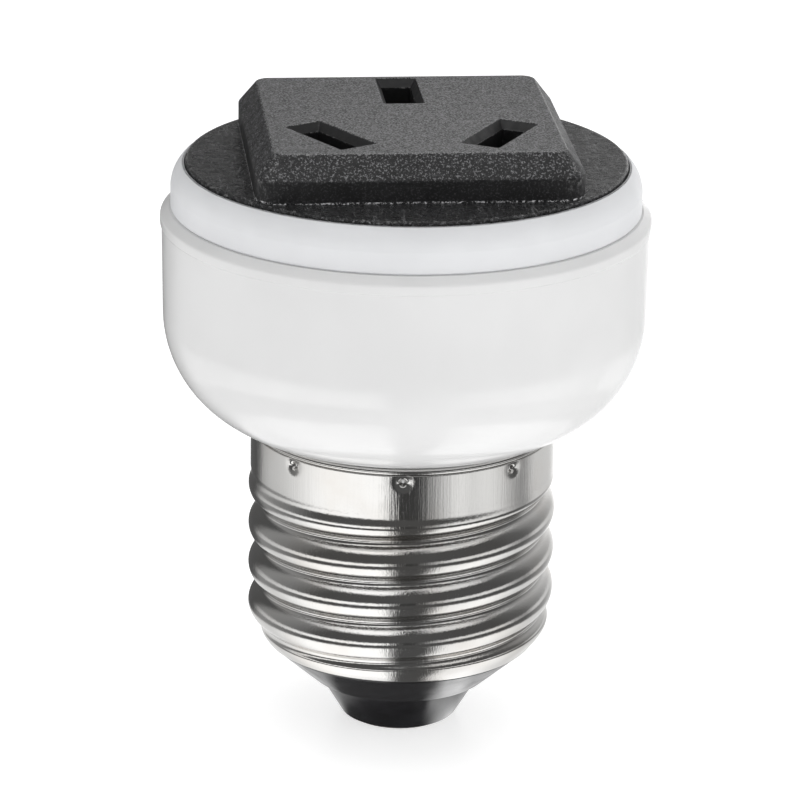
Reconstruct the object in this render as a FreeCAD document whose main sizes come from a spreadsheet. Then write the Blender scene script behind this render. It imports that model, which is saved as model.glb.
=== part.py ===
"""A screw-in socket adapter: an Edison screw cap that carries a three-pin mains socket.

Millimetres, +Z up. The origin is the centre of the centre contact's lowest face, on the axis of the screw.
The earth slot is towards +Y and the live slot towards +X. Angles are counted from +X, seen from above.
"""
import FreeCAD, Part
import math
import os

import Sketcher

UP = FreeCAD.Vector(0, 0, 1)
ORIGIN = FreeCAD.Vector(0, 0, 0)

# The driving sizes: name, value and what it measures
SIZES = (
    # Screw cap, the common 27 mm Edison screw
    ("cap_height", 27.0, "lowest face of the centre contact to the top edge of the screw shell"),
    ("shell_wall", 0.35, "thickness of the pressed sheet"),
    ("skirt_radius", 12.97, "outside of the plain skirt above the thread"),
    ("crest_radius", 13.13, "outside of the thread's crests"),
    ("thread_depth", 0.97, "crest to root of the rounded thread"),
    ("thread_pitch", 3.62, "seven turns to the inch"),
    ("crest_height", 19.35, "height of one crest on the +X side"),
    ("skirt_length", 4.2, "plain skirt above the thread"),
    ("groove_run_out", 1.5, "height over which the groove fades out under the skirt"),
    ("shell_foot_height", 7.35, "lower edge of the shell"),
    ("foot_fade", 2.45, "height over which the thread fades out at the foot"),
    ("foot_curl", 3.05, "height of the inward curve at the foot"),
    ("foot_drop", 1.0, "how far the foot curves inwards"),
    ("dimple_count", 8, "punch marks that crimp the shell to the housing's neck"),
    ("dimple_radius", 0.65, "radius of a punch mark at the surface"),
    ("dimple_depth", 0.4, "depth of a punch mark"),
    ("dimple_drop", 1.3, "top edge of the shell to the centre of a punch mark"),
    ("dimple_angle", -95.0, "direction of the first punch mark"),
    ("dimple_clearance", 0.1, "between a punch mark's inside and its recess in the neck"),
    # Insulator and centre contact
    ("contact_radius", 4.5, "centre contact's disc"),
    ("contact_thickness", 0.25, "centre contact's disc"),
    ("contact_round", 0.12, "rounding of the disc's lower edge"),
    ("shank_radius", 1.5, "hollow shank of the centre contact"),
    ("shank_proud", 1.0, "shank above the insulator's floor"),
    ("shank_bore_radius", 0.6, "wire hole in the shank"),
    ("shank_bore_depth", 1.6, "wire hole in the shank"),
    ("shank_clearance", 0.05, "between the shank and the insulator's hole"),
    ("insulator_floor", 2.4, "floor under the insulator's pocket"),
    ("boss_foot_radius", 4.95, "insulator's boss at its lower end"),
    ("boss_chamfer", 0.25, "chamfer at the boss's lower end"),
    ("boss_top_radius", 7.15, "insulator's boss under the step"),
    ("step_height", 3.95, "height of the small step between boss and cone"),
    ("step_radius", 7.8, "lower end of the insulator's cone"),
    ("cone_inset", 0.05, "insulator's shoulder inside the shell's foot"),
    ("spigot_clearance", 0.12, "insulator's rim inside the shell's foot"),
    ("spigot_height", 1.4, "insulator's rim above the shell's foot"),
    ("spigot_wall", 1.5, "insulator's rim"),
    ("pocket_floor_radius", 4.5, "floor of the insulator's pocket"),
    # Housing
    ("neck_clearance", 0.12, "between neck and shell"),
    ("neck_end_gap", 0.1, "neck's end to the lower end of the plain skirt"),
    ("neck_wall", 1.5, "wall of the neck"),
    ("floor_rise", 0.55, "rise of the bowl's floor from the shell to the corner"),
    ("floor_lip", 1.4, "shell's skirt to the bowl's rounded corner, sideways"),
    ("floor_wall", 1.5, "bowl's floor at the neck"),
    ("corner_radius", 10.0, "outside of the bowl's rounded corner"),
    ("bowl_radius", 20.5, "outside of the bowl under its rim bead"),
    ("bowl_draft", 0.17, "how much narrower the bowl is at the foot of its straight side"),
    ("bowl_wall", 1.8, "thickness of the bowl"),
    ("bead_height", 0.7, "straight part of the rim bead"),
    ("bead_proud", 0.12, "rim bead outside the bowl"),
    ("bead_round", 0.35, "rounding of the rim bead"),
    ("shoulder_angle", 40.0, "slope of the shoulder inside the bead"),
    ("ledge_rise", 0.78, "top of the bead's straight part to the ledge"),
    ("snap_drop", 2.4, "ledge to the top of the snap groove"),
    ("snap_height", 0.7, "locking face of the snap groove"),
    ("snap_groove", 0.35, "depth of the snap groove"),
    # Collar
    ("ledge_width", 0.75, "outside of the bowl to the outside of the collar"),
    ("collar_height", 3.87, "collar above the ledge"),
    ("collar_round", 2.0, "height of the collar's rounded top"),
    ("collar_shoulder", 1.15, "outside of the collar to its top edge around the insert's flange"),
    ("collar_clearance", 0.15, "between the collar's skirt and the bowl"),
    ("collar_wall", 1.2, "wall of the collar's skirt"),
    ("collar_skirt", 4.5, "skirt below the ledge"),
    ("seam_chamfer", 0.18, "lower outside edge of the collar"),
    ("snap_bead", 0.4, "snap bead outside the skirt"),
    ("snap_gap", 0.1, "between the snap bead and the groove's top"),
    ("seat_depth", 1.5, "collar's top edge to the flange's seat"),
    ("seat_width", 2.6, "seat that carries the flange"),
    ("seat_thickness", 1.6, "seat that carries the flange"),
    # Socket insert
    ("flange_clearance", 0.08, "between the flange and the collar's mouth"),
    ("flange_proud", 0.25, "flange above the collar's top edge"),
    ("flange_round", 0.25, "rounding of the flange's top edge"),
    ("block_margin", 0.41, "flange's edge to the corners of the raised block"),
    ("block_inset", 1.5, "upright band of the block to its face, sideways"),
    ("block_corner", 2.2, "corner radius of the upright band"),
    ("block_top_corner", 1.1, "corner radius of the top face"),
    ("block_band", 1.88, "height of the upright band"),
    ("block_slope", 1.93, "height of the sloped faces"),
    ("side_margin", 1.435, "face's edge to the live and neutral slots, along X"),
    ("front_margin", 1.225, "face's edge to the live and neutral slots, along Y"),
    ("earth_margin", 0.55, "face's edge to the earth slot"),
    ("pin_tilt", 30.0, "turn of the live and neutral slots"),
    ("slot_length", 8.2, "slot at the face"),
    ("slot_width", 3.5, "slot at the face"),
    ("lead_in", 0.5, "chamfer around a slot, sideways"),
    ("lead_in_depth", 0.75, "chamfer around a slot, downwards"),
    ("face_thickness", 2.6, "face in front of the contact chambers"),
    ("chamber_depth", 19.56, "face to the chambers' open end"),
    ("chamber_length", 9.6, "inside of a contact chamber"),
    ("chamber_width", 5.2, "inside of a contact chamber"),
    ("chamber_wall", 1.0, "wall of a contact chamber"),
    ("hook_count", 4, "snap hooks that hold the insert in the collar"),
    ("hook_width", 5.0, "snap hook"),
    ("hook_thickness", 1.1, "snap hook's leg"),
    ("hook_catch", 0.8, "snap hook's nose under the seat"),
    ("hook_nose", 1.2, "height of the hook's nose"),
    ("hook_clearance", 0.08, "between the hook and the seat"),
    ("hook_side_gap", 0.1, "between the corners of the hook's leg and the seat's bore"),
    # Plate and screws
    ("plate_gap", 1.0, "retainer plate's edge inside the bore of the seat"),
    ("plate_thickness", 1.6, "retainer plate"),
    ("tab_clearance", 0.15, "plate around a contact's tab"),
    ("screw_room", 2.4, "screw bosses to the bore of the seat"),
    ("screw_direction", 30.0, "direction of the screws, counted from the X axis"),
    ("screw_radius", 1.2, "screw's shank"),
    ("screw_length", 9.0, "screw below its head"),
    ("screw_point", 1.0, "length of the screw's point"),
    ("screw_head_radius", 2.3, "screw's head"),
    ("screw_head_height", 1.4, "screw's head"),
    ("screw_head_round", 0.7, "rounding of the screw's head"),
    ("recess_length", 2.6, "cross recess"),
    ("recess_width", 0.6, "cross recess"),
    ("recess_depth", 0.8, "cross recess"),
    ("pilot_clearance", 0.05, "between shank and pilot hole"),
    ("screw_boss_radius", 2.6, "insert's screw boss"),
    ("plate_hole_clearance", 0.2, "between shank and plate"),
    # Contacts
    ("leaf_thickness", 0.5, "brass sheet"),
    ("leaf_width", 6.6, "brass sheet along the slot"),
    ("leaf_gap", 2.2, "leaves' ends to the roof of the chamber"),
    ("leaf_side_gap", 0.4, "leaves' foot to the walls of the chamber"),
    ("pinch_gap", 0.6, "half the gap where the leaves grip the pin"),
    ("mouth_inset", 0.1, "leaves' flared ends inside their foot"),
    ("pinch_drop", 2.6, "flared end to the grip"),
    ("grip_length", 5.0, "grip to the shoulder of the leaves"),
    ("tab_width", 2.4, "solder tab"),
    ("tab_reach", 2.4, "solder tab below the plate"),
    ("tab_gap", 0.5, "solder on a tab to the bowl's floor"),
    # Leads and solder
    ("conductor_radius", 0.4, "copper conductor"),
    ("sleeve_radius", 0.9, "insulation"),
    ("sleeve_clearance", 0.03, "between insulation and conductor"),
    ("strip_length", 1.9, "bare conductor at a tab or at the shell"),
    ("centre_strip_length", 3.3, "bare conductor at the centre contact"),
    ("end_gap", 0.2, "conductor's end to the bottom of the shank's wire hole"),
    ("joint_gap", 0.1, "conductor's end to the tab's end"),
    ("lead_gap", 0.4, "between a lead and the neck or the thread's roots"),
    ("neck_lead_drop", 4.8, "tab's end to the leads' bend into the neck"),
    ("live_bend_radius", 5.0, "middle bend of the live lead"),
    ("live_bend_drop", 10.5, "shell's top edge to the middle bend of the live lead"),
    ("live_axis_rise", 7.35, "shank's top to the live lead's bend onto the axis"),
    ("neutral_bend_drop", 6.5, "shell's top edge to the neutral lead's bend towards the shell"),
    ("tab_solder_radius", 1.2, "solder on a tab"),
    ("centre_solder_radius", 1.35, "solder on the centre contact's shank"),
    ("shell_solder_radius", 1.5, "solder on the shell"),
    ("shell_solder_gap", 0.06, "between the solder's face and the thread's roots"),
    ("shell_joint_drop", 10.0, "shell's top edge to the neutral conductor's end"),
    ("shell_joint_inset", 0.8, "neutral conductor's end to the thread's roots"),
)

# Grid of the pressed sheet's surfaces: rows round the shell and their spacing up it
ROWS_ROUND = 48
ROW_SPACING = 0.2

doc = FreeCAD.newDocument("screw_in_socket_adapter")
sheet = doc.addObject("Spreadsheet::Sheet", "Sizes")
for row, (alias, number, meaning) in enumerate(SIZES, start=1):
    sheet.set(f"A{row}", meaning)
    sheet.set(f"B{row}", str(number))
    sheet.setAlias(f"B{row}", alias)
doc.recompute()

# Radii from the axis, as expressions of the sheet
NECK = "(Sizes.skirt_radius - Sizes.shell_wall - Sizes.neck_clearance)"
NECK_BORE = f"({NECK} - Sizes.neck_wall)"
WALL_FOOT = "(Sizes.bowl_radius - Sizes.bowl_draft)"
CORNER_AXIS = f"({WALL_FOOT} - Sizes.corner_radius)"
CORNER_SWEEP = f"acos((Sizes.skirt_radius + Sizes.floor_lip - {CORNER_AXIS}) / Sizes.corner_radius)"
CAVITY = f"({WALL_FOOT} - Sizes.bowl_wall)"
CAVITY_CORNER = "(Sizes.corner_radius - Sizes.bowl_wall)"
BEAD = "(Sizes.bowl_radius + Sizes.bead_proud)"
COLLAR = "(Sizes.bowl_radius - Sizes.ledge_width)"
MOUTH = f"({COLLAR} - Sizes.collar_shoulder)"
SEAT_BORE = f"({MOUTH} - Sizes.seat_width)"
COLLAR_SKIRT = f"({CAVITY} - Sizes.collar_clearance)"
COLLAR_BORE = f"({COLLAR_SKIRT} - Sizes.collar_wall)"
FLANGE = f"({MOUTH} - Sizes.flange_clearance)"
PLATE = f"({SEAT_BORE} - Sizes.plate_gap)"
THREAD_MIDDLE = "(Sizes.crest_radius - Sizes.thread_depth / 2)"
SHELL_FOOT = f"({THREAD_MIDDLE} - Sizes.foot_drop)"
SPIGOT = f"({SHELL_FOOT} - Sizes.shell_wall - Sizes.spigot_clearance)"
THREAD_BORE = "(Sizes.crest_radius - Sizes.thread_depth - Sizes.shell_wall)"
PUNCH = "((Sizes.dimple_radius ^ 2 + Sizes.dimple_depth ^ 2) / (2 * Sizes.dimple_depth))"
PUNCH_PLACE = f"(Sizes.skirt_radius - Sizes.dimple_depth + {PUNCH})"

# Levels above the origin, from the screw cap up to the face and from there down to the ledge, as expressions
CAP_TOP = "Sizes.cap_height"
NECK_FOOT = f"({CAP_TOP} - Sizes.skirt_length + Sizes.neck_end_gap)"
FLOOR_EDGE = f"({CAP_TOP} + Sizes.floor_rise)"
CORNER = f"({FLOOR_EDGE} + Sizes.corner_radius * sin({CORNER_SWEEP}))"
FLOOR = f"({CAP_TOP} + Sizes.floor_wall)"
TAB_END = f"({FLOOR} + Sizes.tab_gap + Sizes.tab_solder_radius)"
PLATE_UNDERSIDE = f"({TAB_END} + Sizes.tab_reach)"
CHAMBER_END = f"({PLATE_UNDERSIDE} + Sizes.plate_thickness)"
FACE = f"({CHAMBER_END} + Sizes.chamber_depth)"
CHAMBER_ROOF = f"({FACE} - Sizes.face_thickness)"
BAND_TOP = f"({FACE} - Sizes.block_slope)"
FLANGE_TOP = f"({BAND_TOP} - Sizes.block_band)"
COLLAR_TOP = f"({FLANGE_TOP} - Sizes.flange_proud)"
SEAT = f"({COLLAR_TOP} - Sizes.seat_depth)"
SEAT_UNDERSIDE = f"({SEAT} - Sizes.seat_thickness)"
LEDGE = f"({COLLAR_TOP} - Sizes.collar_height)"
SNAP_TOP = f"({LEDGE} - Sizes.snap_drop)"
BEAD_TOP = f"({LEDGE} - Sizes.ledge_rise)"
BEAD_FOOT = f"({BEAD_TOP} - Sizes.bead_height)"
POCKET_FLOOR = "(Sizes.contact_thickness + Sizes.insulator_floor)"
SHANK_TOP = f"({POCKET_FLOOR} + Sizes.shank_proud)"
DIMPLE_LEVEL = f"({CAP_TOP} - Sizes.dimple_drop)"

# The raised block fills the flange, and each slot keeps its margin to the edge of the block's face
BLOCK_HALF = f"(({FLANGE} - Sizes.block_margin - Sizes.block_corner) / sqrt(2) + Sizes.block_corner)"
FACE_HALF = f"({BLOCK_HALF} - Sizes.block_inset)"
SLOT_ACROSS = "(Sizes.slot_length / 2 * sin(Sizes.pin_tilt) + Sizes.slot_width / 2 * cos(Sizes.pin_tilt))"
SLOT_ALONG = "(Sizes.slot_length / 2 * cos(Sizes.pin_tilt) + Sizes.slot_width / 2 * sin(Sizes.pin_tilt))"
LINE_PLACE = f"({FACE_HALF} - Sizes.side_margin - {SLOT_ACROSS})"
LINE_ROW = f"(-({FACE_HALF} - Sizes.front_margin - {SLOT_ALONG}))"
EARTH_ROW = f"({FACE_HALF} - Sizes.earth_margin - Sizes.slot_length / 2)"
TAB_PLACE = f"sqrt({LINE_PLACE} ^ 2 + {LINE_ROW} ^ 2)"
LINE_DIRECTION = f"atan({LINE_ROW} / {LINE_PLACE})"
SCREW_PLACE = f"(({SEAT_BORE} - Sizes.screw_room - Sizes.screw_boss_radius) * cos(Sizes.screw_direction))"
SCREW_ROW = f"(({SEAT_BORE} - Sizes.screw_room - Sizes.screw_boss_radius) * sin(Sizes.screw_direction))"

# The insert is held by two screws: name and place along X
SCREWS = (("left", f"(-{SCREW_PLACE})"), ("right", SCREW_PLACE))

# The three slots: name, place along X, place along Y and turn
POLES = (
    ("live", LINE_PLACE, LINE_ROW, "(-Sizes.pin_tilt)"),
    ("neutral", f"(-{LINE_PLACE})", LINE_ROW, "Sizes.pin_tilt"),
    ("earth", "0", EARTH_ROW, "0"),
)


def value(expression):
    """The number that an expression of the sheet gives."""
    result = sheet.evalExpression(expression)
    return float(getattr(result, "Value", result))


def plane(body, role):
    """One of a body's own origin planes or axes."""
    return next(item for item in body.Origin.OriginFeatures if item.Role == role)


def add_body(label):
    """A new body, with the label that names its file."""
    body = doc.addObject("PartDesign::Body", label)
    body.Label = label
    return body


def attach(item, body, role, across="0", along="0", away="0", turn="0"):
    """Attaches a sketch or primitive to a body's plane, moved and turned in that plane by expressions."""
    item.AttachmentSupport = (plane(body, role), "")
    item.MapMode = "FlatFace"
    item.AttachmentOffset = FreeCAD.Placement(ORIGIN, FreeCAD.Rotation(UP, 0))
    for axis, expression in zip("xyz", (across, along, away)):
        item.setExpression(f"AttachmentOffset.Base.{axis}", f"{expression} * 1 mm")
    item.setExpression("AttachmentOffset.Rotation.Angle", f"{turn} * 1 deg")


def arc_between(start, end, radius, turn):
    """The short arc from start to end.

    Its centre is on the left of the way there if turn is 1, else on its right.
    """
    middle = (start + end) * 0.5
    way = end - start
    side = FreeCAD.Vector(-way.y, way.x, 0).normalize() * turn
    centre = middle + side * math.sqrt(max(radius ** 2 - way.Length ** 2 / 4, 0))
    first, last = (start, end) if turn > 0 else (end, start)
    first_angle = math.atan2(first.y - centre.y, first.x - centre.x)
    last_angle = math.atan2(last.y - centre.y, last.x - centre.x)
    if last_angle < first_angle:
        last_angle += 2 * math.pi
    return Part.ArcOfCircle(Part.Circle(centre, UP, radius), first_angle, last_angle)


def add_outline(sketch, corners):
    """Draws a closed outline through corners and binds each corner's place to the sheet.

    A corner is (across, up), followed by a straight side, or (across, up, radius, turn), followed by an arc.
    """
    points = [FreeCAD.Vector(value(corner[0]), value(corner[1]), 0) for corner in corners]
    starts, ends = [], []
    for index, corner in enumerate(corners):
        start, end = points[index], points[(index + 1) % len(points)]
        if len(corner) == 2:
            sketch.addGeometry(Part.LineSegment(start, end), False)
            starts.append(1)
            ends.append(2)
        else:
            radius, turn = corner[2:]
            sketch.addGeometry(arc_between(start, end, value(radius), turn), False)
            starts.append(1 if turn > 0 else 2)
            ends.append(2 if turn > 0 else 1)
            name = f"radius_{index}"
            sketch.addConstraint(Sketcher.Constraint("Radius", index, value(radius)))
            sketch.renameConstraint(sketch.ConstraintCount - 1, name)
            sketch.setExpression(f"Constraints.{name}", radius)
    for index in range(len(corners)):
        before = index - 1 if index else len(corners) - 1
        sketch.addConstraint(Sketcher.Constraint("Coincident", before, ends[before], index, starts[index]))
    for index, corner in enumerate(corners):
        for kind, expression, on_axis in (("DistanceX", corner[0], -2), ("DistanceY", corner[1], -1)):
            if expression == "0":
                sketch.addConstraint(Sketcher.Constraint("PointOnObject", index, starts[index], on_axis))
                continue
            name = f"{kind.lower()}_{index}"
            sketch.addConstraint(Sketcher.Constraint(kind, -1, 1, index, starts[index], value(expression)))
            sketch.renameConstraint(sketch.ConstraintCount - 1, name)
            sketch.setExpression(f"Constraints.{name}", expression)


def add_sketch(body, name, role, corners, **offset):
    """A sketch with a closed outline on one of the body's planes."""
    sketch = body.newObject("Sketcher::SketchObject", name)
    attach(sketch, body, role, **offset)
    add_outline(sketch, corners)
    return sketch


def rectangle(length, width, grow="0"):
    """Corners of a rectangle about the origin, its length along Y, grown by grow on each side."""
    half_length, half_width = f"({length} / 2 + {grow})", f"({width} / 2 + {grow})"
    return [
        (f"(-{half_width})", f"(-{half_length})"),
        (half_width, f"(-{half_length})"),
        (half_width, half_length),
        (f"(-{half_width})", half_length),
    ]


def rounded_square(half, radius):
    """Corners of a square about the origin with rounded corners."""
    straight = f"({half} - {radius})"
    return [
        (f"(-{straight})", f"(-{half})"),
        (straight, f"(-{half})", radius, 1),
        (half, f"(-{straight})"),
        (half, straight, radius, 1),
        (straight, half),
        (f"(-{straight})", half, radius, 1),
        (f"(-{half})", straight),
        (f"(-{half})", f"(-{straight})", radius, 1),
    ]


def turn_about_axis(body, name, corners):
    """Turns an outline of radius and height once round the axis."""
    sketch = add_sketch(body, name + "_outline", "XZ_Plane", corners)
    feature = body.newObject("PartDesign::Revolution", name)
    feature.Profile = (sketch, [""])
    feature.ReferenceAxis = (sketch, ["V_Axis"])
    feature.Angle = 360
    return feature


def pad_up(body, name, sketch, height):
    """Pads a level sketch upwards."""
    feature = body.newObject("PartDesign::Pad", name)
    feature.Profile = (sketch, [""])
    feature.setExpression("Length", height)
    return feature


def pad_both_ways(body, name, sketch, width):
    """Pads an upright sketch equally to both sides."""
    feature = body.newObject("PartDesign::Pad", name)
    feature.Profile = (sketch, [""])
    feature.SideType = "Symmetric"
    feature.setExpression("Length", width)
    return feature


def loft(body, kind, name, first, last):
    """Joins two level sketches with ruled faces, adding to the body or cutting it."""
    feature = body.newObject(kind, name)
    feature.Profile = (first, [""])
    feature.Sections = [(last, [""])]
    feature.Ruled = True
    return feature


def upright_box(body, kind, name, place, turn, length, width, foot, top):
    """A box about an upright line at place, its length along Y before it is turned."""
    item = body.newObject(kind, name)
    across, along = place
    attach(
        item, body, "XY_Plane",
        across=f"({across} - {width} / 2 * cos({turn}) + {length} / 2 * sin({turn}))",
        along=f"({along} - {width} / 2 * sin({turn}) - {length} / 2 * cos({turn}))",
        away=foot, turn=turn,
    )
    item.setExpression("Length", width)
    item.setExpression("Width", length)
    item.setExpression("Height", f"{top} - {foot}")
    return item


def upright_cylinder(body, kind, name, place, radius, foot, top):
    """A cylinder on an upright line at place."""
    item = body.newObject(kind, name)
    attach(item, body, "XY_Plane", across=place[0], along=place[1], away=foot)
    item.setExpression("Radius", radius)
    item.setExpression("Height", f"{top} - {foot}")
    return item


def repeat_round(body, name, feature, count):
    """Repeats a feature evenly round the axis."""
    pattern = body.newObject("PartDesign::PolarPattern", name)
    pattern.Originals = [feature]
    pattern.Axis = (plane(body, "Z_Axis"), [""])
    pattern.Angle = 360
    pattern.setExpression("Occurrences", count)
    body.Tip = pattern
    return pattern


def make_housing():
    """The white bowl: a turned wall with a neck for the shell, a rim bead, a ledge and a snap groove."""
    body = add_body("housing")
    shoulder_end = f"({BEAD} - Sizes.bead_round * (1 - sin(Sizes.shoulder_angle)))"
    shoulder_foot = f"({BEAD_TOP} + Sizes.bead_round * cos(Sizes.shoulder_angle))"
    ledge_edge = f"({shoulder_end} - ({LEDGE} - {shoulder_foot}) / tan(Sizes.shoulder_angle))"
    groove = f"({CAVITY} + Sizes.snap_groove)"
    turn_about_axis(body, "bowl", [
        (NECK_BORE, NECK_FOOT),
        (NECK, NECK_FOOT),
        (NECK, CAP_TOP),
        ("Sizes.skirt_radius", CAP_TOP),
        ("(Sizes.skirt_radius + Sizes.floor_lip)", FLOOR_EDGE, "Sizes.corner_radius", 1),
        (WALL_FOOT, CORNER),
        ("Sizes.bowl_radius", BEAD_FOOT),
        (BEAD, f"({BEAD_FOOT} + Sizes.bead_proud)"),
        (BEAD, BEAD_TOP, "Sizes.bead_round", 1),
        (shoulder_end, shoulder_foot),
        (ledge_edge, LEDGE),
        (CAVITY, LEDGE),
        (CAVITY, SNAP_TOP),
        (groove, SNAP_TOP),
        (groove, f"({SNAP_TOP} - Sizes.snap_height)"),
        (CAVITY, f"({SNAP_TOP} - Sizes.snap_height - Sizes.snap_groove)"),
        (CAVITY, CORNER, CAVITY_CORNER, -1),
        (f"({CORNER_AXIS} + {CAVITY_CORNER} * cos({CORNER_SWEEP}))",
         f"({CORNER} - {CAVITY_CORNER} * sin({CORNER_SWEEP}))"),
        (NECK_BORE, FLOOR),
    ])
    recess = body.newObject("PartDesign::SubtractiveSphere", "crimp_recess")
    attach(
        recess, body, "XY_Plane",
        across=f"({PUNCH_PLACE} * cos(Sizes.dimple_angle))",
        along=f"({PUNCH_PLACE} * sin(Sizes.dimple_angle))",
        away=DIMPLE_LEVEL,
    )
    recess.setExpression("Radius", f"{PUNCH} + Sizes.shell_wall + Sizes.dimple_clearance")
    repeat_round(body, "crimp_recesses", recess, "Sizes.dimple_count")
    return body


def make_collar():
    """The white ring: a rounded rim, a seat for the insert's flange and a skirt with a snap bead."""
    body = add_body("collar")
    bead = f"({COLLAR_SKIRT} + Sizes.snap_bead)"
    bead_top = f"({SNAP_TOP} - Sizes.snap_gap)"
    round_radius = "((Sizes.collar_shoulder ^ 2 + Sizes.collar_round ^ 2) / (2 * Sizes.collar_shoulder))"
    skirt_foot = f"({LEDGE} - Sizes.collar_skirt)"
    turn_about_axis(body, "ring", [
        (COLLAR_BORE, skirt_foot),
        (COLLAR_SKIRT, skirt_foot),
        (COLLAR_SKIRT, f"({bead_top} - Sizes.snap_height - Sizes.snap_bead)"),
        (bead, f"({bead_top} - Sizes.snap_height)"),
        (bead, bead_top),
        (COLLAR_SKIRT, bead_top),
        (COLLAR_SKIRT, LEDGE),
        (f"({COLLAR} - Sizes.seam_chamfer)", LEDGE),
        (COLLAR, f"({LEDGE} + Sizes.seam_chamfer)"),
        (COLLAR, f"({COLLAR_TOP} - Sizes.collar_round)", round_radius, 1),
        (MOUTH, COLLAR_TOP),
        (MOUTH, SEAT),
        (SEAT_BORE, SEAT),
        (SEAT_BORE, SEAT_UNDERSIDE),
        (COLLAR_BORE, SEAT_UNDERSIDE),
    ])
    return body


def make_socket_insert():
    """The black moulding: flange, raised block with three slots, contact chambers, screw bosses and hooks."""
    body = add_body("socket_insert")
    turn_about_axis(body, "flange", [
        ("0", SEAT),
        (FLANGE, SEAT),
        (FLANGE, f"({FLANGE_TOP} - Sizes.flange_round)", "Sizes.flange_round", 1),
        (f"({FLANGE} - Sizes.flange_round)", FLANGE_TOP),
        ("0", FLANGE_TOP),
    ])
    band = rounded_square(BLOCK_HALF, "Sizes.block_corner")
    top = rounded_square(FACE_HALF, "Sizes.block_top_corner")
    band_foot = add_sketch(body, "band_foot", "XY_Plane", band, away=FLANGE_TOP)
    pad_up(body, "band", band_foot, "Sizes.block_band")
    slope_foot = add_sketch(body, "slope_foot", "XY_Plane", band, away=BAND_TOP)
    slope_top = add_sketch(body, "slope_top", "XY_Plane", top, away=FACE)
    loft(body, "PartDesign::AdditiveLoft", "slope", slope_foot, slope_top)

    outer_length = "(Sizes.chamber_length + 2 * Sizes.chamber_wall)"
    outer_width = "(Sizes.chamber_width + 2 * Sizes.chamber_wall)"
    for name, across, along, turn in POLES:
        upright_box(body, "PartDesign::AdditiveBox", f"{name}_chamber_walls", (across, along), turn,
                    outer_length, outer_width, CHAMBER_END, FLANGE_TOP)
    for name, across in SCREWS:
        upright_cylinder(body, "PartDesign::AdditiveCylinder", f"{name}_screw_boss", (across, SCREW_ROW),
                         "Sizes.screw_boss_radius", CHAMBER_END, FLANGE_TOP)

    leg = f"sqrt(({SEAT_BORE} - Sizes.hook_side_gap) ^ 2 - (Sizes.hook_width / 2) ^ 2)"
    leg_inside = f"({leg} - Sizes.hook_thickness)"
    nose = f"({leg} + Sizes.hook_catch)"
    catch = f"({SEAT_UNDERSIDE} - Sizes.hook_clearance)"
    hook_outline = add_sketch(body, "hook_outline", "XZ_Plane", [
        (leg_inside, f"({catch} - Sizes.hook_nose)"),
        (leg, f"({catch} - Sizes.hook_nose)"),
        (nose, f"({catch} - Sizes.hook_nose / 2)"),
        (nose, catch),
        (leg, catch),
        (leg, COLLAR_TOP),
        (leg_inside, COLLAR_TOP),
    ])
    hook = pad_both_ways(body, "hook", hook_outline, "Sizes.hook_width")
    repeat_round(body, "hooks", hook, "Sizes.hook_count")

    slot = rectangle("Sizes.slot_length", "Sizes.slot_width")
    throat = rectangle("Sizes.slot_length", "Sizes.slot_width", grow="(-Sizes.lead_in)")
    for name, across, along, turn in POLES:
        place = {"across": across, "along": along, "turn": turn}
        upright_box(body, "PartDesign::SubtractiveBox", f"{name}_chamber", (across, along), turn,
                    "Sizes.chamber_length", "Sizes.chamber_width", CHAMBER_END, CHAMBER_ROOF)
        upright_box(body, "PartDesign::SubtractiveBox", f"{name}_slot", (across, along), turn,
                    "(Sizes.slot_length - 2 * Sizes.lead_in)", "(Sizes.slot_width - 2 * Sizes.lead_in)",
                    CHAMBER_ROOF, FACE)
        mouth = add_sketch(body, f"{name}_mouth", "XY_Plane", slot, away=FACE, **place)
        end = add_sketch(body, f"{name}_throat", "XY_Plane", throat,
                         away=f"({FACE} - Sizes.lead_in_depth)", **place)
        loft(body, "PartDesign::SubtractiveLoft", f"{name}_lead_in", mouth, end)
    for name, across in SCREWS:
        upright_cylinder(body, "PartDesign::SubtractiveCylinder", f"{name}_pilot_hole", (across, SCREW_ROW),
                         "(Sizes.screw_radius + Sizes.pilot_clearance)", CHAMBER_END,
                         f"({PLATE_UNDERSIDE} + Sizes.screw_length + Sizes.screw_point)")
    return body


def make_retainer_plate():
    """The round plate under the chambers, with a slit for each tab and a hole for each screw."""
    body = add_body("retainer_plate")
    upright_cylinder(body, "PartDesign::AdditiveCylinder", "disc", ("0", "0"),
                     PLATE, PLATE_UNDERSIDE, CHAMBER_END)
    for name, across, along, turn in POLES:
        upright_box(body, "PartDesign::SubtractiveBox", f"{name}_slit", (across, along), turn,
                    "(Sizes.tab_width + 2 * Sizes.tab_clearance)",
                    "(Sizes.leaf_thickness + 2 * Sizes.tab_clearance)",
                    PLATE_UNDERSIDE, CHAMBER_END)
    for name, across in SCREWS:
        upright_cylinder(body, "PartDesign::SubtractiveCylinder", f"{name}_hole", (across, SCREW_ROW),
                         "(Sizes.screw_radius + Sizes.plate_hole_clearance)", PLATE_UNDERSIDE, CHAMBER_END)
    return body


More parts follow.
